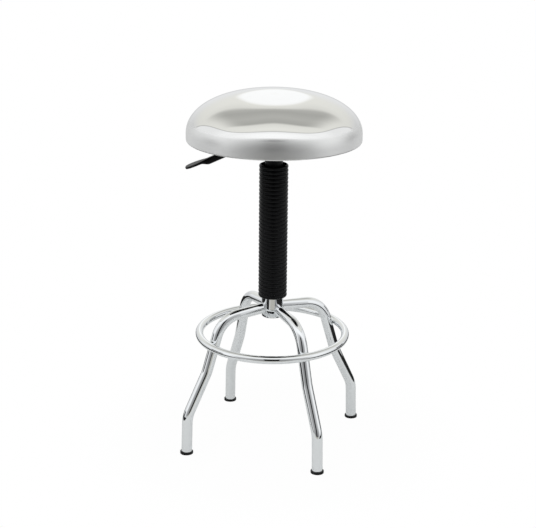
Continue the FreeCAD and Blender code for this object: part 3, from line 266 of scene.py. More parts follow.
class Nodes:
    """Builds a shader or geometry tree.

    The method add() takes a node's type, its settings, and the values or links of its inputs,
    in their order or by name. It returns the output with the given number or name.
    """

    def __init__(self, tree):
        self.tree = tree
        self.made = 0

    def add(self, kind, settings=None, *values, output=0, **named):
        node = self.tree.nodes.new(kind)
        self.made += 1
        node.location = (180 * (self.made % 12), -220 * (self.made // 12))
        for name, setting in (settings or {}).items():
            if name == "stops":
                self.ramp(node, setting)
            else:
                setattr(node, name, setting)
        for number, value in enumerate(values):
            self.join(node.inputs[number], value)
        for name, value in named.items():
            self.join(self.find(node.inputs, name), value)
        return Value(self, self.find(node.outputs, output)) if node.outputs else node

    def find(self, sockets, name):
        """A socket by its number, its identifier, or its name with _ for each space."""
        if isinstance(name, int):
            return sockets[name]
        return next(socket for socket in sockets
                    if name in (socket.identifier, socket.name.replace(" ", "_")))

    def join(self, socket, value):
        if isinstance(value, Value):
            self.tree.links.new(value.socket, socket)
        elif value is not None:
            socket.default_value = value

    def ramp(self, node, stops):
        """Fills a colour ramp with grey levels at their places."""
        elements = node.color_ramp.elements
        while len(elements) > 1:
            elements.remove(elements[-1])
        for number, (place, level) in enumerate(stops):
            element = elements[0] if number == 0 else elements.new(place)
            element.position = place
            element.color = (level, level, level, 1.0)

    def axes(self, place):
        """X, Y and Z of a vector, as values."""
        parts = self.add("ShaderNodeSeparateXYZ", None, place)
        return [Value(self, socket) for socket in parts.socket.node.outputs]


def blank_nodes(owner):
    """The emptied node tree of a material or a world."""
    owner.use_nodes = True
    owner.node_tree.nodes.clear()
    return Nodes(owner.node_tree)


# Materials

def blank_material(name):
    material = bpy.data.materials.new(name)
    return material, blank_nodes(material)


def surface(nodes, shader):
    nodes.add("ShaderNodeOutputMaterial", None, Surface=shader)


def object_place(nodes):
    return nodes.add("ShaderNodeTexCoord", output="Object")


def from_axis(x, y):
    """Distance of a place from the lift's axis."""
    return (x ** 2.0 + y ** 2.0) ** 0.5


def noise(nodes, scale, detail, roughness=0.5, stretch=(1.0, 1.0, 1.0)):
    place = nodes.add("ShaderNodeMapping", None, Vector=object_place(nodes), Scale=stretch)
    return nodes.add("ShaderNodeTexNoise", None, Vector=place, Scale=scale, Detail=detail,
                     Roughness=roughness)


def bump(nodes, height, strength, distance):
    return nodes.add("ShaderNodeBump", None, Strength=strength, Distance=distance,
                     Height=height)


def uneven(cloud, low, high):
    """A value that a cloud of noise moves from low to high."""
    return cloud.spread(0.3, 0.7, low, high)


def tinted(nodes, factor, first, second):
    return nodes.add("ShaderNodeMix", {"data_type": "RGBA"}, Factor=factor,
                     A_Color=(*first, 1.0), B_Color=(*second, 1.0), output="Result_Color")


def shade(colour, factor):
    return tuple(channel * factor for channel in colour)


def metal(nodes, cloud, darker, colour, roughness, normal=None):
    """Bare metal, a little uneven in colour."""
    surface(nodes, nodes.add(
        "ShaderNodeBsdfPrincipled", None, Base_Color=tinted(nodes, cloud, darker, colour),
        Metallic=1.0, Roughness=roughness, Normal=normal))


def stainless(name, colour, satin_from, satin_to):
    """Polished sheet whose skirt, below the given heights, is brushed to a satin finish."""
    material, nodes = blank_material(name)
    cloud = noise(nodes, 9.0, 3.0)
    brushed = noise(nodes, 1600.0, 3.0, 0.6, (0.02, 0.02, 1.0))
    height = nodes.axes(object_place(nodes))[2]
    satin = height.spread(satin_to, satin_from, 1.0, 0.0)
    metal(nodes, cloud, shade(colour, 0.985), shade(colour, 1.01),
          uneven(cloud, 0.035, 0.055) + satin * 0.36,
          bump(nodes, brushed * satin, 0.10, 0.0002))
    return material


def chrome(name, colour):
    material, nodes = blank_material(name)
    cloud = noise(nodes, 25.0, 3.0)
    metal(nodes, cloud, shade(colour, 0.985), colour, uneven(cloud, 0.02, 0.045))
    return material


def machined(name, colour, roughness):
    """Steel or alloy with fine turning marks."""
    material, nodes = blank_material(name)
    cloud = noise(nodes, 50.0, 4.0)
    turning = noise(nodes, 1200.0, 1.0, 0.5, (0.05, 0.05, 1.0))
    metal(nodes, cloud, shade(colour, 0.9), colour,
          uneven(cloud, roughness - 0.05, roughness + 0.08),
          bump(nodes, turning, 0.08, 0.0002))
    return material


def dull(name, colour, patches, grain, roughness, gloss, painted_light_radii=()):
    """Plain skin, a little uneven in colour, gloss and height.

    The patches are a noise's scale and detail, and the grain adds its bumps' strength and
    height. Between the two radii given last, the colour runs from painted shade at the first to
    a painted highlight at the second, as in a bellows' grooves and on its crests.
    """
    material, nodes = blank_material(name)
    cloud = noise(nodes, *patches)
    if painted_light_radii:
        # Painted light: darker towards the first radius as painted shade in the grooves, paler
        # towards the second as a painted highlight on the crests.
        x, y = nodes.axes(object_place(nodes))[:2]
        painted_crest_light = from_axis(x, y).spread(*painted_light_radii, 0.0, 0.85) + cloud * 0.15
        shades = tinted(nodes, painted_crest_light, shade(colour, 0.2), shade(colour, 2.3))
    else:
        shades = tinted(nodes, cloud, shade(colour, 0.8), shade(colour, 1.35))
    scale, detail, strength, height = grain
    surface(nodes, nodes.add(
        "ShaderNodeBsdfPrincipled", None, Base_Color=shades,
        Roughness=uneven(cloud, roughness - 0.05, roughness + 0.07),
        Specular_IOR_Level=gloss,
        Normal=bump(nodes, noise(nodes, scale, detail), strength, height)))
    return material


# Rubber; with two radii given, its grooves get painted shade and its crests a painted highlight.
def rubber(name, colour, *painted_light_radii):
    return dull(name, colour, (60.0, 5.0), (1400.0, 3.0, 0.12, 0.0002), 0.24, 0.13, painted_light_radii)


def moulded(name, colour, roughness=0.4):
    return dull(name, colour, (40.0, 4.0), (2200.0, 2.0, 0.2, 0.0001), roughness, 0.15)


def painted(name, colour, roughness=0.38):
    return dull(name, colour, (20.0, 4.0), (700.0, 2.0, 0.15, 0.0003), roughness, 0.15)


def dress(material, *nodes):
    """Gives CAD nodes their finish."""
    for node in nodes:
        mesh = frame["nodes"][node].data
        mesh.materials.clear()
        mesh.materials.append(material)
        for face in mesh.polygons:
            face.material_index = 0


# Meshes

def placed(name, data):
    """Puts a mesh, a lamp or a camera in the scene."""
    made = bpy.data.objects.new(name, data)
    bpy.context.scene.collection.objects.link(made)
    return made


def mesh_piece(name, points, faces, material):
    mesh = bpy.data.meshes.new(name)
    mesh.from_pydata([tuple(point) for point in points], [], faces)
    mesh.validate()
    mesh.update()
    mesh.materials.append(material)
    for face in mesh.polygons:
        face.use_smooth = True
    return placed(name, mesh)


def rows_to_faces(rows, columns, closed_rows=False):
    """Quads between rows of points that each close on themselves."""
    faces = []
    for row in range(rows if closed_rows else rows - 1):
        following = (row + 1) % rows
        for column in range(columns):
            beside = (column + 1) % columns
            faces.append((row * columns + column, row * columns + beside,
                          following * columns + beside, following * columns + column))
    return faces


def sharpen(piece, limit):
    """Keeps edges crisp where faces meet at more than a limit in degrees."""
    piece.data.set_sharp_from_angle(angle=math.radians(limit))
    return piece


def outward(piece):
    """Turns a closed mesh's faces outwards."""
    made = bmesh.new()
    made.from_mesh(piece.data)
    bmesh.ops.recalc_face_normals(made, faces=made.faces)
    made.to_mesh(piece.data)
    made.free()


def lathe(name, outline, material):
    """Turns a closed outline of radius and height about the lift's axis."""
    columns, crisp = 96, 35.0
    points = []
    for radius, height in outline:
        for column in range(columns):
            angle = FULL_TURN * column / columns
            points.append((radius * math.cos(angle), radius * math.sin(angle), height))
    faces = rows_to_faces(len(outline), columns, closed_rows=True)
    return sharpen(mesh_piece(name, points, faces, material), crisp)


# Geometry node trees

DOUBLES = 0.000002        # points nearer than this are merged


def node_group(name, measures, counts):
    """A geometry tree with a named input for each measure and count, and these as values."""
    tree = bpy.data.node_groups.new(name, "GeometryNodeTree")
    inputs = [("Geometry", "NodeSocketGeometry")]
    inputs += [(label, "NodeSocketFloat") for label in measures]
    inputs += [(label, "NodeSocketInt") for label in counts]
    for label, kind in inputs:
        tree.interface.new_socket(label, in_out="INPUT", socket_type=kind)
    tree.interface.new_socket("Geometry", in_out="OUTPUT", socket_type="NodeSocketGeometry")
    nodes = Nodes(tree)
    sockets = nodes.add("NodeGroupInput").socket.node.outputs
    return tree, nodes, {socket.name: Value(nodes, socket) for socket in sockets if socket.name}


def finish_group(nodes, geometry, material):
    """Ends a tree: instances made real, doubles merged, faces smooth, the finish set."""
    real = nodes.add("GeometryNodeRealizeInstances", None, geometry)
    merged = nodes.add("GeometryNodeMergeByDistance", None, Geometry=real, Distance=DOUBLES)
    smooth = nodes.add("GeometryNodeSetShadeSmooth", None, Geometry=merged, Shade_Smooth=True)
    finished = nodes.add("GeometryNodeSetMaterial", None, Geometry=smooth, Material=material)
    nodes.add("NodeGroupOutput", None, finished)


def applied(name, seed, tree, inputs):
    """Runs a tree on a seed mesh and returns the result as a plain mesh piece."""
    holder = placed(name + "_seed", seed)
    modifier = holder.modifiers.new("nodes", "NODES")
    modifier.node_group = tree
    for item in tree.interface.items_tree:
        if item.item_type == "SOCKET" and item.in_out == "INPUT" and item.name in inputs:
            modifier[item.identifier] = inputs[item.name]
    graph = bpy.context.evaluated_depsgraph_get()
    mesh = bpy.data.meshes.new_from_object(holder.evaluated_get(graph))
    holder.modifiers.remove(modifier)
    bpy.data.objects.remove(holder)
    mesh.name = name
    return placed(name, mesh)


def circle(nodes, points, radius):
    return nodes.add("GeometryNodeCurvePrimitiveCircle", None, Resolution=points,
                     Radius=radius)


# Seat

SEAT_COLUMNS, CROWN_ROWS, BEND_STEPS = 192, 90, 6
SATIN_FROM, SATIN_TO = 0.029, 0.021     # above the rim's wall, where the brushing fades in
CONTOUR_EDGE = 8          # how abruptly the thigh troughs end at the contour's reach
CROWN_NUDGE, TURN_NUDGE = 0.1, 0.01     # steps, in rows and radians, that find the slope
HEM_WIDTH, HEM_RISE = 0.0005, 0.0002    # bevel along the flange's inner edge


def seat_height(sizes, x, y):
    """Height of the sitting surface above the top of the rim's wall."""
    share = min(math.hypot(x, y) / sizes.radius, 1.0)
    crown = sizes.crown * (1.0 - share ** sizes.fullness) ** (1.0 / sizes.shoulder)
    off = (x / sizes.dish_width) ** 2 + ((y - sizes.dish_back) / sizes.dish_length) ** 2
    dish = sizes.dish * math.exp(-off ** 2)
    trough = math.exp(-((abs(x) - sizes.trough_offset) / sizes.trough_width) ** 2)
    trough /= 1.0 + math.exp((y - sizes.trough_start) / sizes.trough_blend)
    fade = math.exp(-(share / sizes.contour_reach) ** CONTOUR_EDGE)
    return crown - dish - sizes.trough * trough * fade


def seat_column(sizes, angle, inset):
    """One column of the seat from the middle over the crown, the wall and the rim's bend."""
    way = Vector((math.cos(angle), math.sin(angle), 0.0))
    up = Vector((0.0, 0.0, 1.0))
    wall_top = sizes.foot + sizes.wall

    def on_crown(turn, step):
        out = sizes.radius * math.sin(QUARTER_TURN * step) ** (2.0 / sizes.fullness)
        x, y = out * math.cos(turn), out * math.sin(turn)
        height = seat_height(sizes, x, y) if step < 1.0 else 0.0
        return Vector((x, y, wall_top + height))

    points = []
    nudge = CROWN_NUDGE / CROWN_ROWS
    for row in range(1, CROWN_ROWS):
        step = row / CROWN_ROWS
        point = on_crown(angle, step)
        if inset:
            along = on_crown(angle, step + nudge) - on_crown(angle, step - nudge)
            across = (on_crown(angle + TURN_NUDGE, step)
                      - on_crown(angle - TURN_NUDGE, step))
            point = point - along.cross(across).normalized() * inset
        points.append(point)
    radius, corner, low = sizes.radius - inset, sizes.bend - inset, sizes.foot + inset
    for share in (0.0, 0.1, 0.3, 0.6, 0.9):
        points.append(way * radius + up * (wall_top + (low + corner - wall_top) * share))
    for step in range(BEND_STEPS + 1):
        bend = QUARTER_TURN * step / BEND_STEPS
        out = radius - corner + corner * math.cos(bend)
        points.append(way * out + up * (low + corner - corner * math.sin(bend)))
    end = sizes.radius - sizes.flange
    points.append(way * (end + HEM_WIDTH) + up * low)
    points.append(way * end + up * (low + (-HEM_RISE if inset else HEM_RISE)))
    return points


def seat_skin(sizes, material):
    """The shell: its outside, its inside one sheet's thickness in, and the hem between them."""
    angles = [FULL_TURN * column / SEAT_COLUMNS for column in range(SEAT_COLUMNS)]
    outside = [seat_column(sizes, angle, 0.0) for angle in angles]
    inside = [seat_column(sizes, angle, sizes.sheet) for angle in angles]
    rows = len(outside[0])
    middle = sizes.foot + sizes.wall + seat_height(sizes, 0.0, 0.0)
    points = [Vector((0.0, 0.0, middle))]
    for row in range(rows):
        points += [column[row] for column in outside]
    for row in reversed(range(rows)):
        points += [column[row] for column in inside]
    points.append(Vector((0.0, 0.0, middle - sizes.sheet)))
    last = 1 + (2 * rows - 1) * SEAT_COLUMNS
    neighbours = [(column, (column + 1) % SEAT_COLUMNS) for column in range(SEAT_COLUMNS)]
    faces = [(0, 1 + column, 1 + beside) for column, beside in neighbours]
    faces += [tuple(reversed([corner + 1 for corner in face]))
              for face in rows_to_faces(2 * rows, SEAT_COLUMNS)]
    faces += [(last + beside, last + column, len(points) - 1)
              for column, beside in neighbours]
    return mesh_piece("seat_skin", points, faces, material)


# Bellows

ROOM = 0.0001             # between the rubber's collars and the steel that they grip
OVERLAP = 0.0003          # of the end walls and the ribbed sleeve
CHAMFER = 0.0006
COLLAR_LENGTH, CUFF_HEIGHT = 0.005, 0.008
RIB_FULLNESS, RIB_ROUNDNESS = 2.6, 0.62


def bellows_tree(material):
    """Ribbed sleeve: a grid wrapped round the lift, up the outside and down the bore."""
    tree, nodes, given = node_group(
        "Bellows ribs", ("Foot", "Top", "Crest", "Depth", "Wall", "Cup depth"),
        ("Ribs", "Around", "Steps"))
    grid = nodes.add("GeometryNodeMeshGrid", None, 1.0, 1.0,
                     given["Around"] + 1, given["Ribs"] * given["Steps"] * 2 + 1)
    across, along = nodes.axes(nodes.add("GeometryNodeInputPosition"))[:2]
    turn = (across + 0.5) * FULL_TURN
    way = (along + 0.5) * 2.0
    rise = 1.0 - abs(way - 1.0)
    inside = way.math("GREATER_THAN", 1.0)
    phase = (rise * given["Ribs"]).math("FRACT")
    swing = abs(phase * 2.0 - 1.0)
    bulge = (1.0 - swing ** RIB_FULLNESS).math("MAXIMUM", 0.0) ** RIB_ROUNDNESS
    outer = given["Crest"] - given["Depth"] * (1.0 - bulge)
    height = given["Foot"] + (given["Top"] - given["Foot"]) * rise
    above = (height - given["Top"] + given["Cup depth"]).math("GREATER_THAN", 0.0)
    bore = given["Crest"] - given["Wall"] - given["Depth"] * (1.0 - above)
    lip = bore.math("MINIMUM", outer - given["Wall"] * 0.5)
    radius = outer * (1.0 - inside) + lip * inside
    moved = nodes.add("ShaderNodeCombineXYZ", None,
                      radius * turn.math("COSINE"), radius * turn.math("SINE"), height)
    wrapped = nodes.add("GeometryNodeSetPosition", None, Geometry=grid, Position=moved)
    finish_group(nodes, wrapped, material)
    return tree


def bellows_wall(sizes, material):
    seed = bpy.data.meshes.new("bellows_seed")
    return applied("bellows_wall", seed, bellows_tree(material), {
        "Foot": BELLOWS_FOOT, "Top": BELLOWS_TOP, "Crest": sizes.crest, "Depth": sizes.depth,
        "Wall": sizes.wall, "Cup depth": BELLOWS_LENGTH / sizes.ribs - OVERLAP,
        "Ribs": sizes.ribs, "Around": 72, "Steps": 8})


def bellows_mouth(sizes, material):
    """Cup floor, collar on the socket and web under it."""
    neck = half_width("seat_socket") + ROOM
    collar = neck + sizes.wall
    bore = sizes.crest - sizes.depth - sizes.wall + OVERLAP
    floor = BELLOWS_TOP - BELLOWS_LENGTH / sizes.ribs + OVERLAP
    under = floor - sizes.web
    end = under - COLLAR_LENGTH
    return lathe("bellows_mouth", [
        (neck, end), (neck, floor - CHAMFER), (neck + CHAMFER, floor), (bore, floor),
        (bore, under), (collar + CHAMFER, under), (collar, under - CHAMFER), (collar, end),
    ], material)


def bellows_cuff(sizes, material):
    """Foot web and the cuff that grips the hub."""
    grip = half_width("hub_tube") + ROOM
    bore = sizes.crest - sizes.depth - sizes.wall + OVERLAP
    low, web, top = [BELLOWS_FOOT + up for up in (OVERLAP, sizes.web, CUFF_HEIGHT)]
    return lathe("bellows_cuff", [
        (grip, low), (bore, low), (bore, web), (grip + sizes.wall, web),
        (grip + sizes.wall, top), (grip, top),
    ], material)


# Base

LEG_START = 0.021         # of a leg's centre line, from the lift's axis


def leg_corners(sizes):
    """Corners of a leg's centre line in its own upright plane, and the bend at each."""
    falls = [sizes.root_slope] + [QUARTER_TURN - lean for lean in (
        sizes.thigh_lean, sizes.shin_lean, sizes.foot_lean)]
    ways = [Vector((math.cos(fall), -math.sin(fall))) for fall in falls]

    def crossing(first, first_way, second, second_way):
        span = second - first
        share = span.x * second_way.y - span.y * second_way.x
        share /= first_way.x * second_way.y - first_way.y * second_way.x
        return first + first_way * share

    gap = RING_TUBE + sizes.leg_radius + sizes.weld_gap
    beside = Vector((RING_RADIUS, RING_HEIGHT)) - Vector((-ways[1].y, ways[1].x)) * gap
    root = Vector((0.0, sizes.leg_root))
    foot = Vector((sizes.foot_circle, sizes.foot_height))
    first = crossing(root, ways[0], beside, ways[1])
    trim = sizes.middle_bend * math.tan((falls[1] - falls[2]) / 2.0)
    drop = (beside.y - sizes.splay_height) / -ways[1].y
    second = beside + ways[1] * (drop + trim)
    third = crossing(second, ways[2], foot, ways[3])
    corners = [root + ways[0] * LEG_START, first, second, third, foot]
    return corners, [0.0, sizes.shoulder_bend, sizes.middle_bend, sizes.ankle_bend, 0.0]


def tube_tree(name, material):
    """Round tubes about the lift's axis, along a filleted path and pinched at their roots."""
    tree, nodes, given = node_group(
        name, ("Radius", "Turn", "Step", "Pinch", "Pinch from", "Pinch to"),
        ("Copies", "Around", "Bend steps"))
    path = nodes.add("GeometryNodeMeshToCurve", None, given["Geometry"])
    bend = nodes.add("GeometryNodeInputNamedAttribute", {"data_type": "FLOAT"}, "bend")
    rounded = nodes.add("GeometryNodeFilletCurve", {"mode": "POLY"}, Curve=path,
                        Count=given["Bend steps"], Radius=bend)
    tube = nodes.add("GeometryNodeCurveToMesh", None, Curve=rounded, Fill_Caps=True,
                     Profile_Curve=circle(nodes, given["Around"], given["Radius"]))
    x, y = nodes.axes(nodes.add("GeometryNodeInputPosition"))[:2]
    share = x.eased(given["Pinch from"], given["Pinch to"], given["Pinch"], 1.0)
    narrow = nodes.add("ShaderNodeCombineXYZ", None, 0.0, y * (share - 1.0), 0.0)
    pinched = nodes.add("GeometryNodeSetPosition", None, Geometry=tube, Offset=narrow)
    spots = nodes.add("GeometryNodeMeshLine", None, Count=given["Copies"],
                      Offset=(0.0, 0.0, 0.0))
    angle = given["Turn"] + nodes.add("GeometryNodeInputIndex") * given["Step"]
    turned = nodes.add("ShaderNodeCombineXYZ", None, 0.0, 0.0, angle)
    copied = nodes.add("GeometryNodeInstanceOnPoints", None, Points=spots, Instance=pinched,
                       Rotation=turned)
    finish_group(nodes, copied, material)
    return tree


def path_mesh(name, points, bends, closed=False):
    """A seed for a tube tree: the path's corners, each with its bend radius."""
    mesh = bpy.data.meshes.new(name)
    edges = [(number, number + 1) for number in range(len(points) - 1)]
    if closed:
        edges.append((len(points) - 1, 0))
    mesh.from_pydata([tuple(point) for point in points], edges, [])
    mesh.attributes.new("bend", "FLOAT", "POINT").data.foreach_set("value", bends)
    return mesh


def at_each_leg(name, seed, tree, sizes, inputs):
    """Applies a tube tree whose copies stand where the four legs do."""
    return applied(name, seed, tree, {
        "Turn": sizes.turn, "Step": QUARTER_TURN, "Copies": len(LEG_NODES), **inputs})


def legs(sizes, material):
    corners, bends = leg_corners(sizes)
    seed = path_mesh("leg_path", [(corner.x, 0.0, corner.y) for corner in corners], bends)
    return at_each_leg("leg_tubes", seed, tube_tree("Legs", material), sizes, {
        "Radius": sizes.leg_radius, "Pinch": sizes.pinch, "Pinch from": sizes.pinch_from,
        "Pinch to": sizes.pinch_to, "Around": 48, "Bend steps": 24})


def hub_welds(sizes, material):
    """Bead round each leg where it meets the hub."""
    hub = half_width("hub_tube")
    height = sizes.leg_root - hub * math.tan(sizes.root_slope)
    steps, proud, off = 48, 0.0002, 0.0003
    points = []
    for step in range(steps):
        angle = FULL_TURN * step / steps
        side = (sizes.leg_radius * sizes.pinch + proud) * math.sin(angle)
        up = (sizes.leg_radius + proud) * math.cos(angle)
        points.append((math.sqrt(hub ** 2 - side ** 2) + off, side, height + up))
    seed = path_mesh("weld_path", points, [0.0] * steps, closed=True)
    return at_each_leg("hub_welds", seed, tube_tree("Hub welds", material), sizes, {
        "Radius": sizes.bead, "Pinch": 1.0, "Pinch from": 0.0, "Pinch to": 1.0,
        "Around": 12, "Bend steps": 1})


def ring_tree(material):
    tree, nodes, given = node_group(
        "Foot ring", ("Ring radius", "Tube radius", "Height"), ("Around", "Along"))
    ring = nodes.add("GeometryNodeCurveToMesh", None,
                     Curve=circle(nodes, given["Along"], given["Ring radius"]),
                     Profile_Curve=circle(nodes, given["Around"], given["Tube radius"]))
    lift = nodes.add("ShaderNodeCombineXYZ", None, 0.0, 0.0, given["Height"])
    raised = nodes.add("GeometryNodeTransform", None, Geometry=ring, Translation=lift)
    finish_group(nodes, raised, material)
    return tree


def foot_ring(material):
    seed = bpy.data.meshes.new("ring_seed")
    return applied("foot_ring_tube", seed, ring_tree(material), {
        "Ring radius": RING_RADIUS, "Tube radius": RING_TUBE, "Height": RING_HEIGHT,
        "Around": 40, "Along": 220})


# Lever

PADDLE_STATIONS, PADDLE_AROUND = 72, 48
TIP_ROUND, TIP_SQUARENESS = 0.0145, 2.4     # the tip's outline, seen from above
ROOT_ROUND, ROOT_WIDTH = 0.0022, 0.8        # the root's edge, and its width before that
EDGE_ROUND, EDGE_DEPTH = 0.003, 0.3         # the tip's edge, and its depth at the very tip
ROOT_SECTION, SECTION_GAIN = 3.2, 2.4       # squareness of the root, and the blade's gain
PADDLE_CRISP = 60.0                         # angle in degrees past which an edge is sharp


def eased(value, low, high):
    """Runs smoothly from 0 at low to 1 at high."""
    share = min(max((value - low) / (high - low), 0.0), 1.0)
    return share * share * (3.0 - 2.0 * share)


def rounded(distance, reach, power=2.0):
    """Height, from 0 to 1, of a rounded edge at a distance from it."""
    room = min(distance / reach, 1.0)
    return math.sqrt(max(1.0 - (1.0 - room) ** power, 0.0))


def paddle(sizes, material):
    """Moulded paddle: a thick rounded root that thins and widens to a flat blade."""
    way = Vector((-math.cos(sizes.slope), 0.0, -math.sin(sizes.slope)))
    up = Vector((-math.sin(sizes.slope), 0.0, math.cos(sizes.slope)))
    bend = Vector((sizes.bend_x, 0.0, sizes.bend_z))
    points = []
    for station in range(PADDLE_STATIONS + 1):
        share = 0.5 - 0.5 * math.cos(math.pi * station / PADDLE_STATIONS)
        along = sizes.start + (sizes.tip - sizes.start) * share
        thinned = eased(along, sizes.shoulder, sizes.neck)
        out = min(max((along - sizes.neck) / (sizes.tip - sizes.neck), 0.0), 1.0)
        blade = sizes.blade + (sizes.tip_blade - sizes.blade) * out
        depth = sizes.depth + (blade - sizes.depth) * thinned
        top = sizes.depth / 2.0 + sizes.rise * max(along - sizes.shoulder, 0.0) / (
            sizes.tip - sizes.shoulder)
        widened = eased(along, sizes.widen_from, sizes.widen_to)
        width = sizes.width + (sizes.blade_width - sizes.width) * widened
        root = ROOT_WIDTH + (1.0 - ROOT_WIDTH) * rounded(along - sizes.start, ROOT_ROUND)
        tip = sizes.tip - along
        half = width / 2.0 * rounded(tip, TIP_ROUND, TIP_SQUARENESS) * root
        edge = EDGE_DEPTH + (1.0 - EDGE_DEPTH) * rounded(tip, EDGE_ROUND)
        thick = depth / 2.0 * edge * root
        power = 2.0 / (ROOT_SECTION + SECTION_GAIN * thinned)
        middle = top - depth / 2.0
        for step in range(PADDLE_AROUND):
            angle = FULL_TURN * step / PADDLE_AROUND
            across, above = math.cos(angle), math.sin(angle)
            side = half * math.copysign(abs(across) ** power, across)
            rise = thick * math.copysign(abs(above) ** power, above)
            points.append(bend + way * along + up * (middle + rise)
                          + Vector((0.0, side, 0.0)))
    faces = rows_to_faces(PADDLE_STATIONS + 1, PADDLE_AROUND)
    faces.append(tuple(reversed(range(PADDLE_AROUND))))
    faces.append(tuple(PADDLE_STATIONS * PADDLE_AROUND + step
                       for step in range(PADDLE_AROUND)))
    piece = mesh_piece("paddle_moulding", points, faces, material)
    outward(piece)
    return sharpen(piece, PADDLE_CRISP)


# Studio

FLOOR_X, FLOOR_Y = (-1.2, 1.2), (-1.3, 1.6)
SWEEP_TONE, FRONT_TONE = (0.75, 0.76, 0.765), (0.50, 0.49, 0.45)
END_TONE, WHITE = (0.02, 0.02, 0.02), (1.0, 1.0, 1.0, 1.0)
FRONT_X, FRONT_Y = (-0.42, 0.42, 0.2), (-1.5, -0.66, 0.14)    # from, to and softness
ENDS_X, ENDS_Y = (0.48, 1.4, 0.03), (-0.75, 1.6, 0.1)
SHADOW_REACH, SHADOW_WHITE = (0.22, 0.46), (0.97, 1.0)
PICTURE_WIDTH, SENSOR_WIDTH = 536.0, 36.0

# Levels of the light tent over its angle, which runs in the middle plane from behind the stool
# (0 degrees) over it to the camera (180 degrees). The middle has the camera and the gaps
# between the lamps, and the sides lie beside it.
TENT_PEAK = 1.12
TENT_MIDDLE = (
    (-90, 0.30), (-26, 0.60), (-6, 0.66), (4, 0.86), (30, 0.86), (38, 0.78), (43, 0.50),
    (50, 0.44), (64, 0.50), (79, 0.44), (81, 0.60), (84, 0.80), (98, 0.90), (105, 0.84),
    (108, 1.00), (116, 1.12), (128, 1.12), (130.5, 1.0), (133, 0.66), (138, 0.48),
    (146, 0.40), (160, 0.36), (180, 0.26), (196, 0.20), (270, 0.2))
TENT_SIDES = (
    (-90, 0.34), (-60, 0.70), (-26, 0.86), (-12, 0.78), (-4, 0.67), (8, 0.67), (16, 0.74),
    (30, 0.80), (50, 0.82), (90, 0.86), (105, 0.84), (108, 1.0), (116, 1.06), (128, 1.05),
    (132, 0.94), (137, 0.80), (150, 0.70), (180, 0.66), (204, 0.66), (270, 0.34))

# What else the tent has. The side is in degrees to either side of the middle plane, the rise
# in degrees above the floor, and the bearing in degrees round the lift's axis from the camera.
BREADTH_ANGLES, BREADTHS = (138.0, 170.0), (44.0, 96.0)    # sides where TENT_SIDES holds
CORE_ANGLES, CORE_SHARE, CORE_GAIN = (36.0, 84.0), 0.1, 0.3  # share of them that is middle
CEILING_SIDE, CEILING_START, CEILING_LENGTH, CEILING_SQUARENESS = 48.5, 33.0, 73.0, 4.6
CEILING_FRONT, CEILING_FLANK = (107.0, 109.0), (46.0, 64.0)
WALL_RISES, WALL_LEVELS = (-8.0, 12.0), (0.66, 0.92)
WALL_BEARINGS, WALL_GAIN = (76.0, 104.0), 0.12
SEAM_EDGES, SEAM_RISES, SEAM_SHADE = (0.93, 1.10, 0.05), (6.0, 90.0, 6.0), 0.36
SPOT_ANGLE, SPOT_LENGTH, SPOT_SIDE, SPOT_GAIN = 22.0, 8.0, 5.8, 0.24
STRIP_SIDES, STRIP_ANGLES, STRIP_SHADE = (-10.5, 10.5, 1.2), (139.0, 186.0, 2.0), 0.96
END_BEARINGS, END_RISES = ((-97.0, -75.0, 2.0), (106.0, 124.0, 2.0)), (-4.0, 9.0, 2.0)
COOL_RISES = (6.0, 24.0)
WARM_LIGHT, COOL_LIGHT = (1.0, 1.0, 0.955), (0.98, 0.99, 1.0)


def diffuse(nodes, tone):
    return nodes.add("ShaderNodeBsdfDiffuse", None, Color=(*tone, 1.0))


def camera_ray(nodes):
    """1 for what the camera sees directly."""
    return nodes.add("ShaderNodeLightPath", output="Is_Camera_Ray")


def studio_floor():
    """Pale sweep with the stool's shadow. Its grey front and dark ends show in mirrors."""
    mesh = bpy.data.meshes.new("studio_floor")
    corners = [(FLOOR_X[0], FLOOR_Y[0], 0.0), (FLOOR_X[1], FLOOR_Y[0], 0.0),
               (FLOOR_X[1], FLOOR_Y[1], 0.0), (FLOOR_X[0], FLOOR_Y[1], 0.0)]
    mesh.from_pydata(corners, [], [(0, 1, 2, 3)])
    floor = placed("studio_floor", mesh)
    material, nodes = blank_material("studio_floor")
    x, y = nodes.axes(object_place(nodes))[:2]
    front = x.window(*FRONT_X) * y.window(*FRONT_Y)
    ends = abs(x).window(*ENDS_X) * y.window(*ENDS_Y)
    swept = nodes.add("ShaderNodeMixShader", None, front, diffuse(nodes, SWEEP_TONE),
                      diffuse(nodes, FRONT_TONE))
    plain = nodes.add("ShaderNodeMixShader", None, ends, swept, diffuse(nodes, END_TONE))
    white = nodes.add("ShaderNodeEmission", None, Color=WHITE, Strength=1.0)
    seen = camera_ray(nodes) * from_axis(x, y).eased(*SHADOW_REACH, *SHADOW_WHITE)
    surface(nodes, nodes.add("ShaderNodeMixShader", None, seen, plain, white))
    mesh.materials.append(material)


def tent(nodes, turn, levels):
    """A ramp of light levels over the tent's angle."""
    stops = [((angle + 90.0) / 360.0, level / TENT_PEAK) for angle, level in levels]
    ramp = nodes.add("ShaderNodeValToRGB", {"stops": stops}, turn)
    return nodes.add("ShaderNodeSeparateColor", None, ramp) * TENT_PEAK


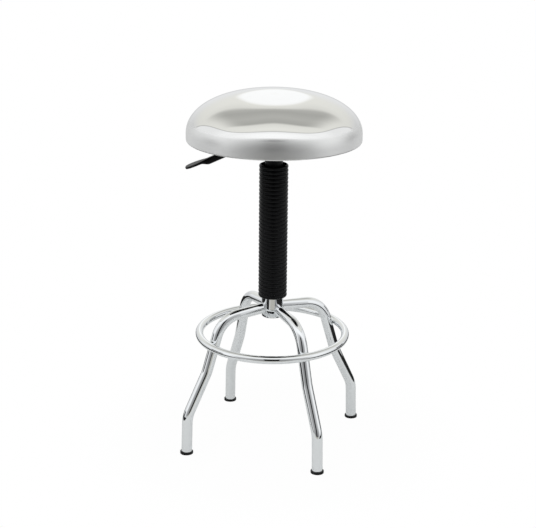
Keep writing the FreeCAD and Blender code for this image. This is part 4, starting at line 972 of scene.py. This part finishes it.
def studio_world():
    """White to the camera; a soft light tent with its gaps to everything else."""
    world = bpy.data.worlds.new("studio")
    bpy.context.scene.world = world
    nodes = blank_nodes(world)
    x, deep, high = nodes.axes(nodes.add("ShaderNodeTexCoord", output="Generated"))
    turn = (high.math("ARCTAN2", deep) / FULL_TURN + 0.25).math("FRACT")
    angle = turn * 360.0 - 90.0
    side = abs(x.math("ARCSINE")) / DEGREE
    rise = high.math("ARCSINE") / DEGREE
    bearing = x.math("ARCTAN2", deep * -1.0) / DEGREE

    core = angle.window(*CORE_ANGLES, 3.0) * CORE_GAIN + CORE_SHARE
    beside = (side / angle.eased(*BREADTH_ANGLES, *BREADTHS)).eased(core, 1.0)
    middle, sides = tent(nodes, turn, TENT_MIDDLE), tent(nodes, turn, TENT_SIDES)
    level = middle + (sides - middle) * beside

    run = (angle - CEILING_START).math("MAXIMUM", 0.0) / CEILING_LENGTH
    edge = (side / CEILING_SIDE) ** CEILING_SQUARENESS + run ** CEILING_SQUARENESS
    outside = edge.eased(0.95, 1.05)
    behind = angle.eased(*CEILING_FRONT, 1.0, 0.0).math("MAXIMUM", side.eased(*CEILING_FLANK))
    walls = rise.eased(*WALL_RISES, *WALL_LEVELS)
    walls = walls + abs(bearing).eased(*WALL_BEARINGS, WALL_GAIN, 0.0)
    level = level + (walls - level) * (outside * behind)
    level = level * (1.0 - edge.window(*SEAM_EDGES) * rise.window(*SEAM_RISES) * SEAM_SHADE)

    off = ((angle - SPOT_ANGLE) / SPOT_LENGTH) ** 2.0 + (side / SPOT_SIDE) ** 2.0
    spot = off.eased(0.5, 1.8, 1.0, 0.0)
    level = level + spot * SPOT_GAIN
    strip = side.window(*STRIP_SIDES) * angle.window(*STRIP_ANGLES)
    left, right = [bearing.window(*bearings) for bearings in END_BEARINGS]
    strip = strip.math("MAXIMUM", (left + right) * rise.window(*END_RISES))
    level = level * (1.0 - strip * STRIP_SHADE)

    cool = outside.math("MAXIMUM", spot).math("MAXIMUM", rise.eased(*COOL_RISES, 1.0, 0.0))
    light = nodes.add("ShaderNodeBackground", None, Strength=level,
                      Color=tinted(nodes, cool, WARM_LIGHT, COOL_LIGHT))
    white = nodes.add("ShaderNodeBackground", None, Color=WHITE, Strength=1.0)
    mixed = nodes.add("ShaderNodeMixShader", None, camera_ray(nodes), light, white)
    nodes.add("ShaderNodeOutputWorld", None, Surface=mixed)


def studio_lights():
    """Two soft lamps that light the stool but aren't mirrored in it."""
    target = Vector((0.0, 0.0, 0.4))
    for name, place, size, power in (
            ("key_softbox", (-1.2, -1.6, 2.6), (1.6, 1.2), 22.0),
            ("fill_softbox", (2.4, -0.6, 1.6), (1.2, 1.8), 10.0)):
        data = bpy.data.lights.new(name, "AREA")
        data.shape = "RECTANGLE"
        data.size, data.size_y = size
        data.energy = power
        lamp = placed(name, data)
        lamp.location = place
        lamp.rotation_euler = (target - Vector(place)).to_track_quat("-Z", "Y").to_euler()
        lamp.visible_glossy = False


def studio_camera(studio):
    """The camera that took the photograph, fitted to the outlines in it."""
    data = bpy.data.cameras.new("photo_camera")
    data.sensor_width = SENSOR_WIDTH
    data.lens = studio.focal * SENSOR_WIDTH / PICTURE_WIDTH
    camera = placed("photo_camera", data)
    level = math.cos(studio.tilt)
    forward = Vector((math.sin(studio.pan) * level, math.cos(studio.pan) * level,
                      -math.sin(studio.tilt)))
    right = Vector((math.cos(studio.pan), -math.sin(studio.pan), 0.0))
    up = right.cross(forward)
    side = right * math.cos(studio.roll) + up * math.sin(studio.roll)
    top = up * math.cos(studio.roll) - right * math.sin(studio.roll)
    turn = Matrix((side, top, -forward)).transposed()
    place = Matrix.Translation((0.0, -studio.distance, studio.height))
    camera.matrix_world = place @ turn.to_4x4()
    bpy.context.scene.camera = camera


# Operators

class STOOL_OT_seat(Operator):
    """Make the contoured steel seat and finish the pan under it"""
    bl_idname = "stool.seat"
    bl_label = "Seat"

    def execute(self, context):
        sizes, colours = context.scene.stool_seat, context.scene.stool_colours
        wall_top = sizes.foot + sizes.wall
        steel = stainless("stainless_seat", colours.steel, wall_top + SATIN_FROM,
                          wall_top + SATIN_TO)
        piece = seat_skin(sizes, steel)
        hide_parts("seat_shell")
        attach(piece, "seat")
        dress(painted("black_pan_paint", colours.paint, 0.5), "seat_pan")
        dress(painted("black_bracket_paint", colours.paint), "seat_bracket")
        dress(machined("zinc_fasteners", (0.62, 0.62, 0.61), 0.28),
              "seat_bolts", "seat_nuts", "lever_pivot_pin")
        return {"FINISHED"}


class STOOL_OT_bellows(Operator):
    """Make the ribbed dust bellows with its collar and cuff"""
    bl_idname = "stool.bellows"
    bl_label = "Bellows"

    def execute(self, context):
        sizes = context.scene.stool_bellows
        # The bellows' rubber is painted darker in its grooves (painted shade) and paler on its
        # crests (painted highlight).
        black = rubber("bellows_rubber", context.scene.stool_colours.rubber,
                       sizes.crest - sizes.depth, sizes.crest)
        wall = bellows_wall(sizes, black)
        outward(wall)
        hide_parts("dust_bellows")
        height = next(joint for joint in frame["joints"] if joint["name"] == "height")
        travel = height["range_m"][1] - height["range_m"][0]
        for piece in (wall, bellows_mouth(sizes, black), bellows_cuff(sizes, black)):
            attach(piece, "base")
            (BELLOWS_LENGTH - travel) / BELLOWS_LENGTH
            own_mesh(piece)
        return {"FINISHED"}


class STOOL_OT_base(Operator):
    """Make the legs, the foot ring and their welds, and finish the hub and the glides"""
    bl_idname = "stool.base"
    bl_label = "Base"

    def execute(self, context):
        sizes, colours = context.scene.stool_base, context.scene.stool_colours
        plated = chrome("leg_chrome", colours.chrome)
        for piece, nodes in ((legs(sizes, plated), LEG_NODES),
                             (foot_ring(plated), ("foot_ring",)),
                             (hub_welds(sizes, plated), ())):
            outward(piece)
            if nodes:
                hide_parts(*nodes)
            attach(piece, "base")
        dress(plated, "hub_tube")
        dress(moulded("glide_plastic", colours.plastic),
              *[leg.replace("leg", "glide") for leg in LEG_NODES])
        return {"FINISHED"}


class STOOL_OT_lift(Operator):
    """Finish the gas lift and what it holds"""
    bl_idname = "stool.lift"
    bl_label = "Lift"

    def execute(self, context):
        colours = context.scene.stool_colours
        dress(painted("black_lift_paint", colours.paint),
              "seat_socket", "lift_outer_tube", "gas_cylinder")
        dress(machined("ground_steel", (0.66, 0.66, 0.65), 0.2),
              "piston_rod", "bearing_race_lower", "bearing_race_upper", "bearing_ball_cage",
              "rod_clip", "piston_nut", "release_pin")
        dress(machined("turned_alloy", (0.75, 0.75, 0.76), 0.3), "piston", "valve_body")
        dress(moulded("nylon", (0.74, 0.72, 0.66), 0.45),
              "guide_bush", "piston_ring", "rod_guide")
        dress(rubber("seal_rubber", colours.rubber), "end_stop", "rod_seal")
        return {"FINISHED"}


class STOOL_OT_lever(Operator):
    """Make the release lever's paddle and finish its arm"""
    bl_idname = "stool.lever"
    bl_label = "Lever"

    def execute(self, context):
        black = moulded("paddle_plastic", context.scene.stool_colours.plastic, 0.33)
        piece = paddle(context.scene.stool_lever, black)
        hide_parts("lever_paddle")
        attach(piece, "lever")
        dress(machined("lever_steel", (0.6, 0.6, 0.6), 0.25), "lever_arm")
        return {"FINISHED"}


class STOOL_OT_stage(Operator):
    """Set up the floor, the studio light and the camera"""
    bl_idname = "stool.stage"
    bl_label = "Studio"

    def execute(self, context):
        studio_floor()
        studio_world()
        studio_lights()
        studio_camera(context.scene.stool_studio)
        context.scene.view_settings.view_transform = "Standard"
        return {"FINISHED"}


class STOOL_PT_panel(Panel):
    bl_label = "Machinist stool"
    bl_idname = "STOOL_PT_panel"
    bl_space_type = "VIEW_3D"
    bl_region_type = "UI"
    bl_category = "Stool"

    def draw(self, context):
        for operator in OPERATORS:
            self.layout.operator(operator.bl_idname)


OPERATORS = (STOOL_OT_seat, STOOL_OT_bellows, STOOL_OT_base, STOOL_OT_lift, STOOL_OT_lever,
             STOOL_OT_stage)
SETTINGS = {
    "stool_seat": SeatSizes, "stool_bellows": BellowsSizes, "stool_base": BaseSizes,
    "stool_lever": LeverSizes, "stool_colours": StoolColours, "stool_studio": StudioSettings,
}


def register():
    for name, group in SETTINGS.items():
        bpy.utils.register_class(group)
        setattr(bpy.types.Scene, name, PointerProperty(type=group))
    for item in (*OPERATORS, STOOL_PT_panel):
        bpy.utils.register_class(item)


def unregister():
    for item in (STOOL_PT_panel, *reversed(OPERATORS)):
        bpy.utils.unregister_class(item)
    for name, group in SETTINGS.items():
        delattr(bpy.types.Scene, name)
        bpy.utils.unregister_class(group)


def main():
    register()
    bpy.ops.stool.seat()
    bpy.ops.stool.bellows()
    bpy.ops.stool.base()
    bpy.ops.stool.lift()
    bpy.ops.stool.lever()
    bpy.ops.stool.stage()


if __name__ == "__main__":
    main()
